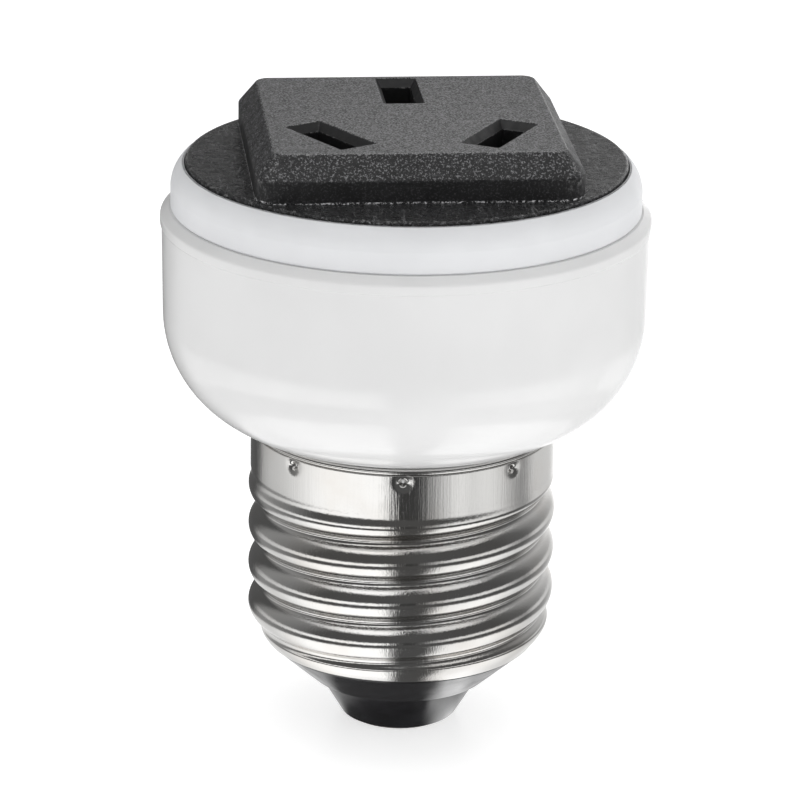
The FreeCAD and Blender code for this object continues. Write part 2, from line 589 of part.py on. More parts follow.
def make_plate_screw(label, across):
    """A pan-head screw with a cross recess, its point up, its shank as wide as its thread."""
    body = add_body(label)
    head_foot = f"({PLATE_UNDERSIDE} - Sizes.screw_head_height)"
    tip = f"({PLATE_UNDERSIDE} + Sizes.screw_length)"
    turn_about_axis(body, "screw", [
        ("0", head_foot),
        ("(Sizes.screw_head_radius - Sizes.screw_head_round)", head_foot, "Sizes.screw_head_round", 1),
        ("Sizes.screw_head_radius", f"({head_foot} + Sizes.screw_head_round)"),
        ("Sizes.screw_head_radius", PLATE_UNDERSIDE),
        ("Sizes.screw_radius", PLATE_UNDERSIDE),
        ("Sizes.screw_radius", f"({tip} - Sizes.screw_point)"),
        ("0", tip),
    ])
    for name, turn in (("recess_along", "0"), ("recess_across", "90")):
        upright_box(body, "PartDesign::SubtractiveBox", name, ("0", "0"), turn,
                    "Sizes.recess_length", "Sizes.recess_width",
                    head_foot, f"({head_foot} + Sizes.recess_depth)")
    body.setExpression("Placement.Base.x", f"{across} * 1 mm")
    body.setExpression("Placement.Base.y", f"{SCREW_ROW} * 1 mm")
    return body


def make_contact(name, across, along, turn):
    """A folded leaf contact: two leaves that grip a pin, the fold between them and a solder tab below it."""
    body = add_body(f"{name}_contact")
    foot = CHAMBER_END
    top = f"({CHAMBER_ROOF} - Sizes.leaf_gap)"
    grip = f"({top} - Sizes.pinch_drop)"
    shoulder = f"({grip} - Sizes.grip_length)"
    outside = "(Sizes.chamber_width / 2 - Sizes.leaf_side_gap)"
    inner = [
        (f"({outside} - Sizes.leaf_thickness - Sizes.mouth_inset)", top),
        ("Sizes.pinch_gap", grip),
        (f"({outside} - Sizes.leaf_thickness)", shoulder),
        (f"({outside} - Sizes.leaf_thickness)", f"({foot} + Sizes.leaf_thickness)"),
    ]
    outer = [
        (outside, foot),
        (outside, shoulder),
        ("(Sizes.pinch_gap + Sizes.leaf_thickness)", grip),
        (f"({outside} - Sizes.mouth_inset)", top),
    ]
    mirrored = [(f"(-{width})", level) for width, level in reversed(outer + inner)]
    outline = add_sketch(body, "leaf_outline", "XZ_Plane", outer + inner + mirrored)
    pad_both_ways(body, "leaves", outline, "Sizes.leaf_width")
    upright_box(body, "PartDesign::AdditiveBox", "tab", ("0", "0"), "0",
                "Sizes.tab_width", "Sizes.leaf_thickness", TAB_END, f"({foot} + Sizes.leaf_thickness)")
    body.Placement = FreeCAD.Placement(ORIGIN, FreeCAD.Rotation(UP, 0))
    body.setExpression("Placement.Base.x", f"{across} * 1 mm")
    body.setExpression("Placement.Base.y", f"{along} * 1 mm")
    body.setExpression("Placement.Rotation.Angle", f"{turn} * 1 deg")
    return body


def make_base_insulator():
    """The black insulator: a rim in the shell's foot, a cone, a step and a boss with the contact's hole."""
    body = add_body("base_insulator")
    hole = "(Sizes.shank_radius + Sizes.shank_clearance)"
    pocket = f"({SPIGOT} - Sizes.spigot_wall)"
    rim = "(Sizes.shell_foot_height + Sizes.spigot_height)"
    turn_about_axis(body, "insulator", [
        (hole, "Sizes.contact_thickness"),
        ("(Sizes.boss_foot_radius - Sizes.boss_chamfer)", "Sizes.contact_thickness"),
        ("Sizes.boss_foot_radius", "(Sizes.contact_thickness + Sizes.boss_chamfer)"),
        ("Sizes.boss_top_radius", "Sizes.step_height"),
        ("Sizes.step_radius", "Sizes.step_height"),
        (f"({SHELL_FOOT} - Sizes.cone_inset)", "Sizes.shell_foot_height"),
        (SPIGOT, "Sizes.shell_foot_height"),
        (SPIGOT, rim),
        (pocket, rim),
        (pocket, "Sizes.shell_foot_height"),
        ("Sizes.pocket_floor_radius", POCKET_FLOOR),
        (hole, POCKET_FLOOR),
    ])
    return body


def make_centre_contact():
    """The centre contact: a flat disc and a hollow shank through the insulator."""
    body = add_body("centre_contact")
    bore_end = f"({SHANK_TOP} - Sizes.shank_bore_depth)"
    turn_about_axis(body, "rivet", [
        ("0", "0"),
        ("(Sizes.contact_radius - Sizes.contact_round)", "0", "Sizes.contact_round", 1),
        ("Sizes.contact_radius", "Sizes.contact_round"),
        ("Sizes.contact_radius", "Sizes.contact_thickness"),
        ("Sizes.shank_radius", "Sizes.contact_thickness"),
        ("Sizes.shank_radius", SHANK_TOP),
        ("Sizes.shank_bore_radius", SHANK_TOP),
        ("Sizes.shank_bore_radius", bore_end),
        ("0", bore_end),
    ])
    return body


def add_shape(label, shape):
    """A feature that holds a worked-out shape."""
    feature = doc.addObject("Part::Feature", label)
    feature.Label = label
    feature.Shape = shape
    return feature


def ease(share):
    """Rises smoothly from 0 to 1 as share does."""
    share = min(max(share, 0.0), 1.0)
    return share * share * (3 - 2 * share)


class PressedSheet:
    """The radius of the screw shell's sheet at an angle and a height, at a depth in from its outside.

    The thread is two tangent arcs a pitch long, one for the crest and one for the root. It eases into the
    plain skirt above it and into the plain, inward curving foot below it.
    """

    def __init__(self):
        self.pitch = value("Sizes.thread_pitch")
        self.crest = value("Sizes.crest_radius")
        self.root = self.crest - value("Sizes.thread_depth")
        self.arc = (self.pitch ** 2 / 4 + (self.crest - self.root) ** 2) / (4 * (self.crest - self.root))
        self.half_share = self.pitch / 4 / self.arc
        self.start = value("Sizes.crest_height")
        self.skirt = value("Sizes.skirt_radius")
        self.gone = value(f"{CAP_TOP} - Sizes.skirt_length")
        self.full = self.gone - value("Sizes.groove_run_out")
        self.foot = value("Sizes.shell_foot_height")
        self.fade = value("Sizes.foot_fade")
        self.curl = value("Sizes.foot_curl")
        self.drop = value("Sizes.foot_drop")

    def thread(self, from_crest, depth):
        """Radius of the thread at a distance along the axis from the nearest crest."""
        crest_arc = self.arc - depth
        if from_crest <= crest_arc * self.half_share:
            return self.crest - self.arc + math.sqrt(crest_arc ** 2 - from_crest ** 2)
        root_arc = self.arc + depth
        return self.root + self.arc - math.sqrt(root_arc ** 2 - (self.pitch / 2 - from_crest) ** 2)

    def curve_in(self, height):
        """How far the foot's arc has left the thread's middle radius at a height."""
        below = min(max(self.foot + self.curl - height, 0.0), self.curl)
        radius = (self.curl ** 2 + self.drop ** 2) / (2 * self.drop)
        return radius - math.sqrt(radius ** 2 - below ** 2)

    def radius(self, angle, height, depth):
        """Radius of the sheet, eased between thread, skirt and foot."""
        turns = (height - self.start) / self.pitch - angle / (2 * math.pi)
        from_crest = abs(turns - round(turns)) * self.pitch
        wave = self.thread(from_crest, depth)
        middle = (self.crest + self.root) / 2 - depth
        near_foot = ease((height - self.foot) / self.fade)
        near_skirt = ease((self.gone - height) / (self.gone - self.full))
        lower = middle + (wave - middle) * near_foot - self.curve_in(height)
        return (self.skirt - depth) + (lower - (self.skirt - depth)) * near_skirt


def smooth_tube(radius_at, foot, top):
    """A face round the axis through radius_at(angle, height), as one cubic surface closed round the axis.

    Each pole lies on the form at its own place, moved out by a sixth of the form's bend there, which makes
    the surface follow the form.
    """
    rows = int((top - foot) / ROW_SPACING) + 4
    spans = rows - 3
    step = (top - foot) / spans
    flat_knots = [0, 0, 0] + list(range(spans + 1)) + [spans] * 3
    heights = [foot + step * sum(flat_knots[row + 1:row + 4]) / 3 for row in range(rows)]

    def point(column, height):
        angle = 2 * math.pi * column / ROWS_ROUND
        radius = radius_at(angle, height)
        return FreeCAD.Vector(radius * math.cos(angle), radius * math.sin(angle), height)

    poles = []
    for column in range(ROWS_ROUND):
        line = []
        for row, height in enumerate(heights):
            here = point(column, height)
            bend = point(column - 1, height) + point(column + 1, height) - here * 2
            if 0 < row < rows - 1:
                bend += point(column, height - step) + point(column, height + step) - here * 2
            line.append(here - bend * (1 / 6))
        poles.append(line)
    surface = Part.BSplineSurface()
    surface.buildFromPolesMultsKnots(
        poles,
        [1] * (ROWS_ROUND + 1), [4] + [1] * (spans - 1) + [4],
        list(range(ROWS_ROUND + 1)), list(range(spans + 1)),
        True, False, 3, 3,
    )
    return surface.toShape()


def level_edge(face, height):
    """The closed edge of a tube's face at a height."""
    edges = [edge for edge in face.Edges if edge.BoundBox.ZLength < 1e-6]
    return min(edges, key=lambda edge: abs(edge.BoundBox.ZMin - height))


def make_screw_shell():
    """The pressed shell: outside and inside of the sheet, joined by flat edges, with its punch marks."""
    form = PressedSheet()
    foot, top = form.foot, value(CAP_TOP)
    wall = value("Sizes.shell_wall")
    outside = smooth_tube(lambda angle, height: form.radius(angle, height, 0.0), foot, top)
    inside = smooth_tube(lambda angle, height: form.radius(angle, height, wall), foot, top)
    faces = [outside, inside]
    for level in (foot, top):
        rims = [Part.Wire(level_edge(face, level)) for face in (outside, inside)]
        faces.append(Part.makeFace(rims, "Part::FaceMakerBullseye"))
    shell = Part.Shell(faces)
    shell.sewShape()
    solid = Part.Solid(shell)
    if solid.Volume < 0:
        solid.reverse()

    punch, place, level = value(PUNCH), value(PUNCH_PLACE), value(DIMPLE_LEVEL)
    count = round(value("Sizes.dimple_count"))
    first = math.radians(value("Sizes.dimple_angle"))
    within = Part.makeCylinder(value("Sizes.skirt_radius") - wall / 2, top, ORIGIN, UP)
    bumps, pits = [], []
    for index in range(count):
        angle = first + 2 * math.pi * index / count
        centre = FreeCAD.Vector(place * math.cos(angle), place * math.sin(angle), level)
        bumps.append(Part.makeSphere(punch + wall, centre).common(within))
        pits.append(Part.makeSphere(punch, centre))
    return add_shape("screw_shell", solid.fuse(bumps).cut(pits))


def lead_path(corners):
    """Straight runs through corners, joined by tangent arcs as large as the runs allow."""
    edges = []
    at = corners[0]
    for before, corner, after in zip(corners, corners[1:], corners[2:]):
        back, on = before - corner, after - corner
        half_turn = (math.pi - back.getAngle(on)) / 2
        reach = 0.45 * min(back.Length, on.Length)
        back.normalize()
        on.normalize()
        start, end = corner + back * reach, corner + on * reach
        radius = reach / math.tan(half_turn)
        to_centre = (back + on).normalize()
        centre = corner + to_centre * (radius / math.cos(half_turn))
        edges.append(Part.LineSegment(at, start).toShape())
        edges.append(Part.Arc(start, centre - to_centre * radius, end).toShape())
        print("lead arc radius", round(radius, 2))
        at = end
    edges.append(Part.LineSegment(at, corners[-1]).toShape())
    return edges


def sweep(edges, radius):
    """A round rod along a path."""
    start = edges[0].Vertexes[0].Point
    way = edges[0].Vertexes[-1].Point - start
    ring = Part.Wire(Part.makeCircle(radius, start, way))
    return Part.Wire(edges).makePipeShell([ring], True, False)


def make_lead(name, direction, corners, end_strip):
    """A lead in the upright plane at a direction: its conductor, and the sleeve that leaves both ends bare.

    The corners are expressions of radius and height, from the tab to the lead's far end.
    """
    turn = FreeCAD.Rotation(UP, direction)
    points = [turn.multVec(FreeCAD.Vector(value(radius), 0, value(height))) for radius, height in corners]
    edges = lead_path(points)
    conductor = sweep(edges, value("Sizes.conductor_radius"))
    first_way = (points[1] - points[0]).normalize()
    last_way = (points[-1] - points[-2]).normalize()
    covered_start = points[0] + first_way * value("Sizes.strip_length")
    covered_end = points[-1] - last_way * value(end_strip)
    covered = [Part.LineSegment(covered_start, edges[0].Vertexes[-1].Point).toShape()]
    covered += edges[1:-1]
    covered.append(Part.LineSegment(edges[-1].Vertexes[0].Point, covered_end).toShape())
    hole = value("Sizes.conductor_radius + Sizes.sleeve_clearance")
    sleeve = sweep(covered, value("Sizes.sleeve_radius")).cut(sweep(covered, hole))
    return add_shape(f"{name}_wire", conductor), add_shape(f"{name}_sleeve", sleeve)


def make_solder(label, radius, place, away):
    """A bead of solder about a place, without the space of the pieces that it holds."""
    bead = doc.addObject("Part::Sphere", label + "_bead")
    bead.setExpression("Radius", radius)
    for axis, expression in zip("xyz", place):
        bead.setExpression(f"Placement.Base.{axis}", f"{expression} * 1 mm")
    held = doc.addObject("Part::MultiFuse", label + "_held")
    held.Shapes = away
    solder = doc.addObject("Part::Cut", label)
    solder.Label = label
    solder.Base = bead
    solder.Tool = held
    return solder


def make_shell_solder(neutral_wire):
    """The bead that joins the neutral conductor to the shell's inside, flush with the thread's roots."""
    label = "shell_solder"
    inset = f"({THREAD_BORE} - Sizes.shell_joint_inset)"
    bead = doc.addObject("Part::Sphere", label + "_bead")
    bead.setExpression("Radius", "Sizes.shell_solder_radius")
    bead.setExpression("Placement.Base.x", f"-{inset} * cos({LINE_DIRECTION}) * 1 mm")
    bead.setExpression("Placement.Base.y", f"{inset} * sin({LINE_DIRECTION}) * 1 mm")
    bead.setExpression("Placement.Base.z", f"({CAP_TOP} - Sizes.shell_joint_drop) * 1 mm")
    inside = doc.addObject("Part::Cylinder", label + "_limit")
    inside.setExpression("Radius", f"{THREAD_BORE} - Sizes.shell_solder_gap")
    inside.setExpression("Height", CAP_TOP)
    flush = doc.addObject("Part::Common", label + "_flush")
    flush.Base = bead
    flush.Tool = inside
    solder = doc.addObject("Part::Cut", label)
    solder.Label = label
    solder.Base = flush
    solder.Tool = neutral_wire
    return solder


pieces = [make_housing(), make_collar(), make_socket_insert(), make_retainer_plate()]
pieces += [
    make_plate_screw(f"plate_screw_{number}", across)
    for number, (name, across) in enumerate(SCREWS, start=1)
]
contacts = {name: make_contact(name, across, along, turn) for name, across, along, turn in POLES}
pieces += contacts.values()
centre_contact = make_centre_contact()
pieces += [make_screw_shell(), make_base_insulator(), centre_contact]

# The leads' routes from the tabs, as radius and height of each corner
tab_joint = (TAB_PLACE, f"({TAB_END} - Sizes.joint_gap)")
beside_wall = f"(min({NECK_BORE}; {THREAD_BORE}) - Sizes.sleeve_radius - Sizes.lead_gap)"
into_neck = (beside_wall, f"({TAB_END} - Sizes.neck_lead_drop)")
live_route = [
    tab_joint,
    into_neck,
    ("Sizes.live_bend_radius", f"({CAP_TOP} - Sizes.live_bend_drop)"),
    ("0", f"({SHANK_TOP} + Sizes.live_axis_rise)"),
    ("0", f"({SHANK_TOP} - Sizes.shank_bore_depth + Sizes.end_gap)"),
]
neutral_route = [
    tab_joint,
    into_neck,
    (beside_wall, f"({CAP_TOP} - Sizes.neutral_bend_drop)"),
    (f"({THREAD_BORE} - Sizes.shell_joint_inset)", f"({CAP_TOP} - Sizes.shell_joint_drop)"),
]
line_direction = value(LINE_DIRECTION)
live_wire, live_sleeve = make_lead("live", line_direction, live_route, "Sizes.centre_strip_length")
neutral_wire, neutral_sleeve = make_lead("neutral", 180 - line_direction, neutral_route, "Sizes.strip_length")
pieces += [live_wire, live_sleeve, neutral_wire, neutral_sleeve]

for (name, across, along, turn), wire in zip(POLES, (live_wire, neutral_wire)):
    pieces.append(make_solder(f"{name}_solder", "Sizes.tab_solder_radius",
                              (across, along, TAB_END), [contacts[name], wire]))
pieces.append(make_solder("centre_solder", "Sizes.centre_solder_radius",
                          ("0", "0", SHANK_TOP), [centre_contact, live_wire]))
pieces.append(make_shell_solder(neutral_wire))

doc.recompute()
for item in doc.Objects:
    if {"Invalid", "Error"} & set(item.State):
        raise RuntimeError(f"{item.Label} is {item.State}")
for piece in pieces:
    if piece.Shape.isNull() or not piece.Shape.isValid() or len(piece.Shape.Solids) != 1:
        raise RuntimeError(f"{piece.Label} is not one valid solid")

os.makedirs("parts", exist_ok=True)
for piece in pieces:
    piece.Shape.exportStep(f"parts/{piece.Label}.step")
    print(piece.Label, round(piece.Shape.Volume, 2))
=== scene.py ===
"""The looks of a screw-in socket adapter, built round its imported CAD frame.

Lengths in this file are millimetres until a mesh is made, except in the property groups, which hold metres.
+Z is the screw's axis, and the centre contact's lowest face is at the origin.
"""

import math

import bpy
import numpy as np
from mathutils import Matrix, Vector
from mathutils.geometry import delaunay_2d_cdt


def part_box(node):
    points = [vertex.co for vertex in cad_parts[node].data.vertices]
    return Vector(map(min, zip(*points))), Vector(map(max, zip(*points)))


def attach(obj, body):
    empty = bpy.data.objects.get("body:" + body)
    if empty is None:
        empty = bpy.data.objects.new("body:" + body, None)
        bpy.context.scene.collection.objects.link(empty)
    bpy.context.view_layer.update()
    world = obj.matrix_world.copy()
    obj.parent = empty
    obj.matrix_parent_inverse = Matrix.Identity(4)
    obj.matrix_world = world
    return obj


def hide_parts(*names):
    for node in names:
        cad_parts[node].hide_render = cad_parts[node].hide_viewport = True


bl_info = {
    "name": "Screw-in socket adapter",
    "version": (1, 0, 0),
    "blender": (4, 5, 0),
    "location": "3D View > Sidebar > Adapter",
    "description": "Builds the adapter's mouldings, screw cap, finishes and studio round its CAD frame",
    "category": "Object",
}

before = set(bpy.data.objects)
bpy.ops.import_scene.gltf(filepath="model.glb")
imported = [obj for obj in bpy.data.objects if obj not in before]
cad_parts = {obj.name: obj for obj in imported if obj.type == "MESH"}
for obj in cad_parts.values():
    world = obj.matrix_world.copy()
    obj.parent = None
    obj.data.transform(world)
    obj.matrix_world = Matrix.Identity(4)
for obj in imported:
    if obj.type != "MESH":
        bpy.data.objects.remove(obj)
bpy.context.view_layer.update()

MM = 0.001


def length(name, description, millimetres):
    """A size in metres, given in millimetres."""
    return bpy.props.FloatProperty(
        name=name, description=description, default=millimetres * MM, precision=5, unit="LENGTH"
    )


def angle(name, description, degrees):
    """An angle in radians, given in degrees."""
    return bpy.props.FloatProperty(
        name=name, description=description, default=math.radians(degrees), precision=3, unit="ROTATION"
    )


def colour(name, description, code):
    """A colour as linear numbers, given as sRGB hex."""
    return bpy.props.FloatVectorProperty(
        name=name, description=description, default=linear(code), min=0, max=1, subtype="COLOR"
    )


def linear(code):
    """The linear red, green and blue of an sRGB hex colour."""
    parts = [int(code[i:i + 2], 16) / 255 for i in (1, 3, 5)]
    return tuple(c / 12.92 if c <= 0.04045 else ((c + 0.055) / 1.055) ** 2.4 for c in parts)


# Sizes and colours that a user can change

class BowlSizes(bpy.types.PropertyGroup):
    """The white bowl."""
    radius: length("Radius", "Outside of the bowl under its bead", 20.5)
    foot_radius: length("Foot radius", "Outside of the bowl where its straight side begins", 20.33)
    bead_radius: length("Bead radius", "Outside of the rim bead", 20.62)
    corner: length("Corner", "Radius of the bowl's rounded corner", 10.0)
    wall: length("Wall", "Thickness of the bowl", 1.8)
    ledge: length("Ledge height", "Height of the ledge that carries the collar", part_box("housing")[1].z / MM)


class CollarSizes(bpy.types.PropertyGroup):
    """The white ring between bowl and socket."""
    radius: length("Radius", "Outside of the ring", 19.75)
    mouth: length("Mouth radius", "Top edge of the ring, round the black flange", 18.6)
    top: length("Top height", "Height of the ring's top edge", 49.7)
    crease: length("Crease height", "Height at which the ring begins to round in", 47.7)


class SocketSizes(bpy.types.PropertyGroup):
    """The black socket moulding."""
    flange: length("Flange radius", "Outside of the flange", 18.52)
    flange_top: length("Flange height", "Height of the flange's face", 49.95)
    band: length("Band half width", "Half the width of the block's upright band", 13.45)
    band_top: length("Band height", "Height of the band's upper edge", 51.83)
    face: length("Face half width", "Half the width of the block's face", 11.95)
    face_top: length("Face height", "Height of the block's face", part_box("socket_insert")[1].z / MM)
    slot_length: length("Slot length", "Length of a slot at the face", 8.2)
    slot_width: length("Slot width", "Width of a slot at the face", 3.5)
    lead_in: length("Lead-in", "Sideways size of the chamfer in a slot", 0.5)


class CapSizes(bpy.types.PropertyGroup):
    """The pressed screw shell."""
    wall: length("Sheet", "Thickness of the pressed sheet", 0.35)
    skirt: length("Skirt radius", "Outside of the plain skirt", 12.97)
    crest: length("Crest radius", "Outside of the thread's crests", 13.13)
    depth: length("Thread depth", "Crest to root", 0.97)
    pitch: length("Pitch", "Crest to crest", 3.62)
    start: length("Crest height", "Height of one crest on the +X side", 19.35)
    foot: length("Foot height", "Lower edge of the shell", 7.35)
    share: bpy.props.FloatProperty(
        name="Crest share", description="Share of the pitch that crests take", default=0.8
    )
    top: length("Top height", "Upper edge of the shell's rolled rim", 26.97)
    rim: length("Rim", "Height of the rolled rim", 0.56)
    mark_height: length("Punch mark height", "Height of the punch marks' centres", 25.7)
    dimple_start: angle("First punch mark", "Direction of the first punch mark", -95.0)


class Finishes(bpy.types.PropertyGroup):
    """Base colours of the finishes."""
    bowl: colour("Bowl", "Glossy white moulding", "#E7E7E7")
    collar: colour("Collar", "Satin white moulding", "#E9EAEC")
    socket: colour("Socket", "Black phenolic moulding", "#151516")
    nickel: colour("Nickel", "Nickel plate of the shell", "#D2D1CF")
    insulator: colour("Insulator", "Black glossy moulding", "#101012")
    tin: colour("Tin", "Tinned centre contact", "#BDBAB4")
    brass: colour("Brass", "Contacts", "#C9A254")
    zinc: colour("Zinc", "Zinc plated screws", "#B9BBBD")
    copper: colour("Copper", "Bare conductors", "#C9774C")
    live: colour("Live sleeve", "Red insulation", "#8E1B17")
    neutral: colour("Neutral sleeve", "Blue insulation", "#1C3F86")
    solder: colour("Solder", "Soft solder", "#B4B5B4")


class StageSettings(bpy.types.PropertyGroup):
    """The camera: its turn, tilt, roll, distance, aim and lens."""
    azimuth: angle("Azimuth", "Camera's direction round the object", -5.647)
    elevation: angle("Elevation", "Camera's height above the horizon, as an angle", 19.234)
    roll: angle("Roll", "Camera's turn about its view", 0.898)
    distance: length("Distance", "Camera to the point that it looks at", 368.57)
    aim_side: length("Aim sideways", "Point that the camera looks at, to the right of the axis", -0.27)
    aim_up: length("Aim along the picture", "Point that the camera looks at, up the picture", 4.254)
    aim_height: length("Aim height", "Height on the axis that the aim is counted from", 23.993)
    lens: bpy.props.FloatProperty(name="Lens", description="Focal length in millimetres", default=194.005)


def in_mm(group, names):
    """The lengths of a property group that a string names, in millimetres."""
    return [getattr(group, name) / MM for name in names.split()]


def linked(name, data):
    """A new object on the scene."""
    item = bpy.data.objects.new(name, data)
    bpy.context.scene.collection.objects.link(item)
    return item


# Surfaces worked out with numpy

class Skin:
    """Points and faces of one mesh, with a value at each point that the finish uses for worn edges."""

    def __init__(self):
        self.points, self.edges, self.faces, self.count = [], [], [], 0

    def rows(self, grid, edge=None, closed=False):
        """Adds a grid of points, whose columns go once round, and the quads between neighbours.

        grid is rows x columns x 3. Row r and column c make a quad with the next row and the next column,
        counted round, and with closed the last row joins the first. edge has a value for each row or each
        point. Returns each point's number.
        """
        count, columns = grid.shape[:2]
        numbers = self.count + np.arange(count * columns).reshape(count, columns)
        self.points.append(grid.reshape(-1, 3))
        worn = np.zeros(count) if edge is None else edge
        self.edges.append((worn.reshape(count, -1) + np.zeros(columns)).ravel())
        self.count += count * columns
        lower, upper = numbers, np.roll(numbers, -1, 0)
        if not closed:
            lower, upper = lower[:-1], upper[:-1]
        quads = np.stack([lower, np.roll(lower, -1, 1), np.roll(upper, -1, 1), upper], -1)
        self.faces += quads.reshape(-1, 4).tolist()
        return numbers

    def cap(self, loop, flip=False):
        """Closes a loop with one flat face."""
        self.faces.append(loop[::-1].tolist() if flip else loop.tolist())

    def level(self, rim, holes, flip=False):
        """Fills the level area between a rim and the holes in it with triangles.

        The triangles are Delaunay triangles of all the loops' points, held to the loops' own sides. One with
        its three corners on one hole's loop lies in that hole, because each hole is convex, and is left out.
        """
        loops = [rim, *holes]
        lengths = [len(loop) for loop in loops]
        numbers = np.concatenate(loops)
        owner = np.repeat(np.arange(len(loops)), lengths)
        points = np.concatenate(self.points)[numbers]
        starts = np.cumsum([0, *lengths])
        after = [np.roll(np.arange(count), -1) + start for count, start in zip(lengths, starts)]
        sides = np.stack([np.arange(len(numbers)), np.concatenate(after)], -1)
        flat = [Vector(point) for point in points[:, :2].tolist()]
        found = delaunay_2d_cdt(flat, sides.tolist(), [], 1, 1e-9)
        source = np.array([origins[0] for origins in found[3]])
        triangles = source[np.array(found[2])]
        kinds = owner[triangles]
        in_hole = (kinds[:, 0] > 0) & (kinds[:, 0] == kinds[:, 1]) & (kinds[:, 1] == kinds[:, 2])
        triangles = numbers[triangles[~in_hole]]
        self.faces += (triangles[:, ::-1] if flip else triangles).tolist()

    def item(self, name, finish, **attributes):
        """The mesh object, smooth, with its finish and with attributes that have a value at each point."""
        mesh = bpy.data.meshes.new(name)
        mesh.from_pydata(np.concatenate(self.points) * MM, [], self.faces)
        for attribute, values in attributes.items():
            mesh.attributes.new(attribute, "FLOAT", "POINT").data.foreach_set("value", values)
        mesh.polygons.foreach_set("use_smooth", np.ones(len(mesh.polygons), bool))
        mesh.materials.append(finish)
        return linked(name, mesh)

    def piece(self, name, nodes, finish):
        """Makes the mesh object, faces outwards, and hangs it on the frame in place of CAD nodes."""
        item = self.item(name, finish, worn=np.concatenate(self.edges))
        mesh, points = item.data, np.concatenate(self.points)
        mesh.validate()
        mesh.calc_loop_triangles()
        corners = np.zeros(len(mesh.loop_triangles) * 3, int)
        mesh.loop_triangles.foreach_get("vertices", corners)
        a, b, c = points[corners.reshape(-1, 3)].transpose(1, 0, 2)
        if np.einsum("ij,ij->i", a, np.cross(b, c)).sum() < 0:
            mesh.flip_normals()
        mesh.update()
        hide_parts(*nodes)
        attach(item, "root")


WORN_RADIUS = 0.6


def outline(corners, closed=True):
    """A line through corners, each rounded by its own arc, and how worn each point is.

    A corner is (across, up, radius). Its arc touches both sides at radius x tan(turn / 2) from the corner. It
    is cut into steps of sqrt(0.016 / radius), which keeps the chords within 0.002 mm of it. A point just
    outside each end of an arc keeps the flat side's shading flat. A radius of 0 leaves the corner as it is.
    Arcs under WORN_RADIUS are worn.
    """
    corners = np.array(corners, float)
    points, worn = [], []
    for i, (*at, radius) in enumerate(corners):
        at = np.array(at)
        ends = not closed and i in (0, len(corners) - 1)
        if ends or radius == 0:
            points.append(at[None])
            worn.append([0.0])
            continue
        before, after = corners[i - 1, :2] - at, corners[(i + 1) % len(corners), :2] - at
        room = min(np.hypot(*before), np.hypot(*after))
        before, after = before / np.hypot(*before), after / np.hypot(*after)
        turn = math.pi - math.acos(np.clip(before @ after, -1, 1))
        reach = radius * math.tan(turn / 2)
        middle = before + after
        centre = at + middle / np.hypot(*middle) * (radius / math.cos(turn / 2))
        steps = max(3, math.ceil(turn / math.sqrt(0.016 / radius)))
        first = math.atan2(*(at + before * reach - centre)[::-1])
        sign = 1 if before[0] * after[1] - before[1] * after[0] < 0 else -1
        angles = first + sign * turn * np.linspace(0, 1, steps + 1)
        arc = centre + radius * np.stack([np.cos(angles), np.sin(angles)], -1)
        hold = min(0.06 + 0.1 * radius, 0.4 * max(room - reach, 0))
        points.append(np.concatenate([[at + before * (reach + hold)], arc, [at + after * (reach + hold)]]))
        worn.append([0.0, *[float(radius < WORN_RADIUS)] * (steps + 1), 0.0])
    return np.concatenate(points), np.concatenate(worn)


def turned(profile, columns):
    """A profile of radius and height turned round the axis: x = r cos a, y = r sin a, z = height."""
    angles = np.arange(columns) * (2 * math.pi / columns)
    radius, height = profile[:, :1], profile[:, 1:]
    return np.stack([radius * np.cos(angles), radius * np.sin(angles), height + 0 * angles], -1)


def rectangles(half_width, half_length, corner, height, steps=5, place=(0, 0), turn=0.0):
    """Level loops about a place: rectangles with rounded corners, turned about their centre by an angle.

    Corner q has its centre at (half width - corner, half length - corner), with the signs of its quarter, and
    its arc turns from 90 q to 90 q + 90 degrees.
    """
    quarter = np.arange(4)[:, None] * (math.pi / 2)
    angles = (quarter + np.linspace(0, math.pi / 2, steps)).ravel()
    middles = np.repeat(quarter.ravel() + math.pi / 4, steps)
    right, ahead = np.sign(np.cos(middles)), np.sign(np.sin(middles))
    corner = corner[:, None]
    x = right * (half_width[:, None] - corner) + corner * np.cos(angles)
    y = ahead * (half_length[:, None] - corner) + corner * np.sin(angles)
    return spun(np.stack([x, y, height[:, None] + 0 * x], -1), turn) + np.array([*place, 0.0])


def spun(points, turn):
    """Points turned round the Z axis: x' = x cos t - y sin t, y' = x sin t + y cos t."""
    c, s = math.cos(turn), math.sin(turn)
    return points @ np.array([(c, s, 0.0), (-s, c, 0.0), (0.0, 0.0, 1.0)])


def ease(share):
    """Rises smoothly from 0 to 1 as share does: 3 s^2 - 2 s^3."""
    share = np.clip(share, 0, 1)
    return share * share * (3 - 2 * share)


# Finishes

ABS_IOR = 1.53
PVC_IOR = 1.53
PHENOLIC_IOR = 1.6

# Kinds of node that recur, with their settings
STEP = {"kind": "ShaderNodeMapRange", "interpolation_type": "SMOOTHSTEP"}
BLEND = {"kind": "ShaderNodeMix", "data_type": "RGBA"}
PRODUCT = {"kind": "ShaderNodeMath", "operation": "MULTIPLY"}
LARGER = {"kind": "ShaderNodeMath", "operation": "MAXIMUM"}


def feed(tree, node, inputs):
    """Gives a node its inputs, by name or in the order of its sockets in use.

    An input is a value, a colour, an output, or a node, which stands for its first output in use.
    """
    in_use = [socket for socket in node.inputs if socket.enabled]
    for key, given in inputs.items() if isinstance(inputs, dict) else enumerate(inputs):
        socket = in_use[key] if isinstance(key, int) else node.inputs[key]
        if isinstance(given, bpy.types.Node):
            given = next(output for output in given.outputs if output.enabled)
        if isinstance(given, bpy.types.NodeSocket):
            tree.links.new(given, socket)
        elif socket.type == "RGBA":
            socket.default_value = (*given, 1.0)
        else:
            socket.default_value = given


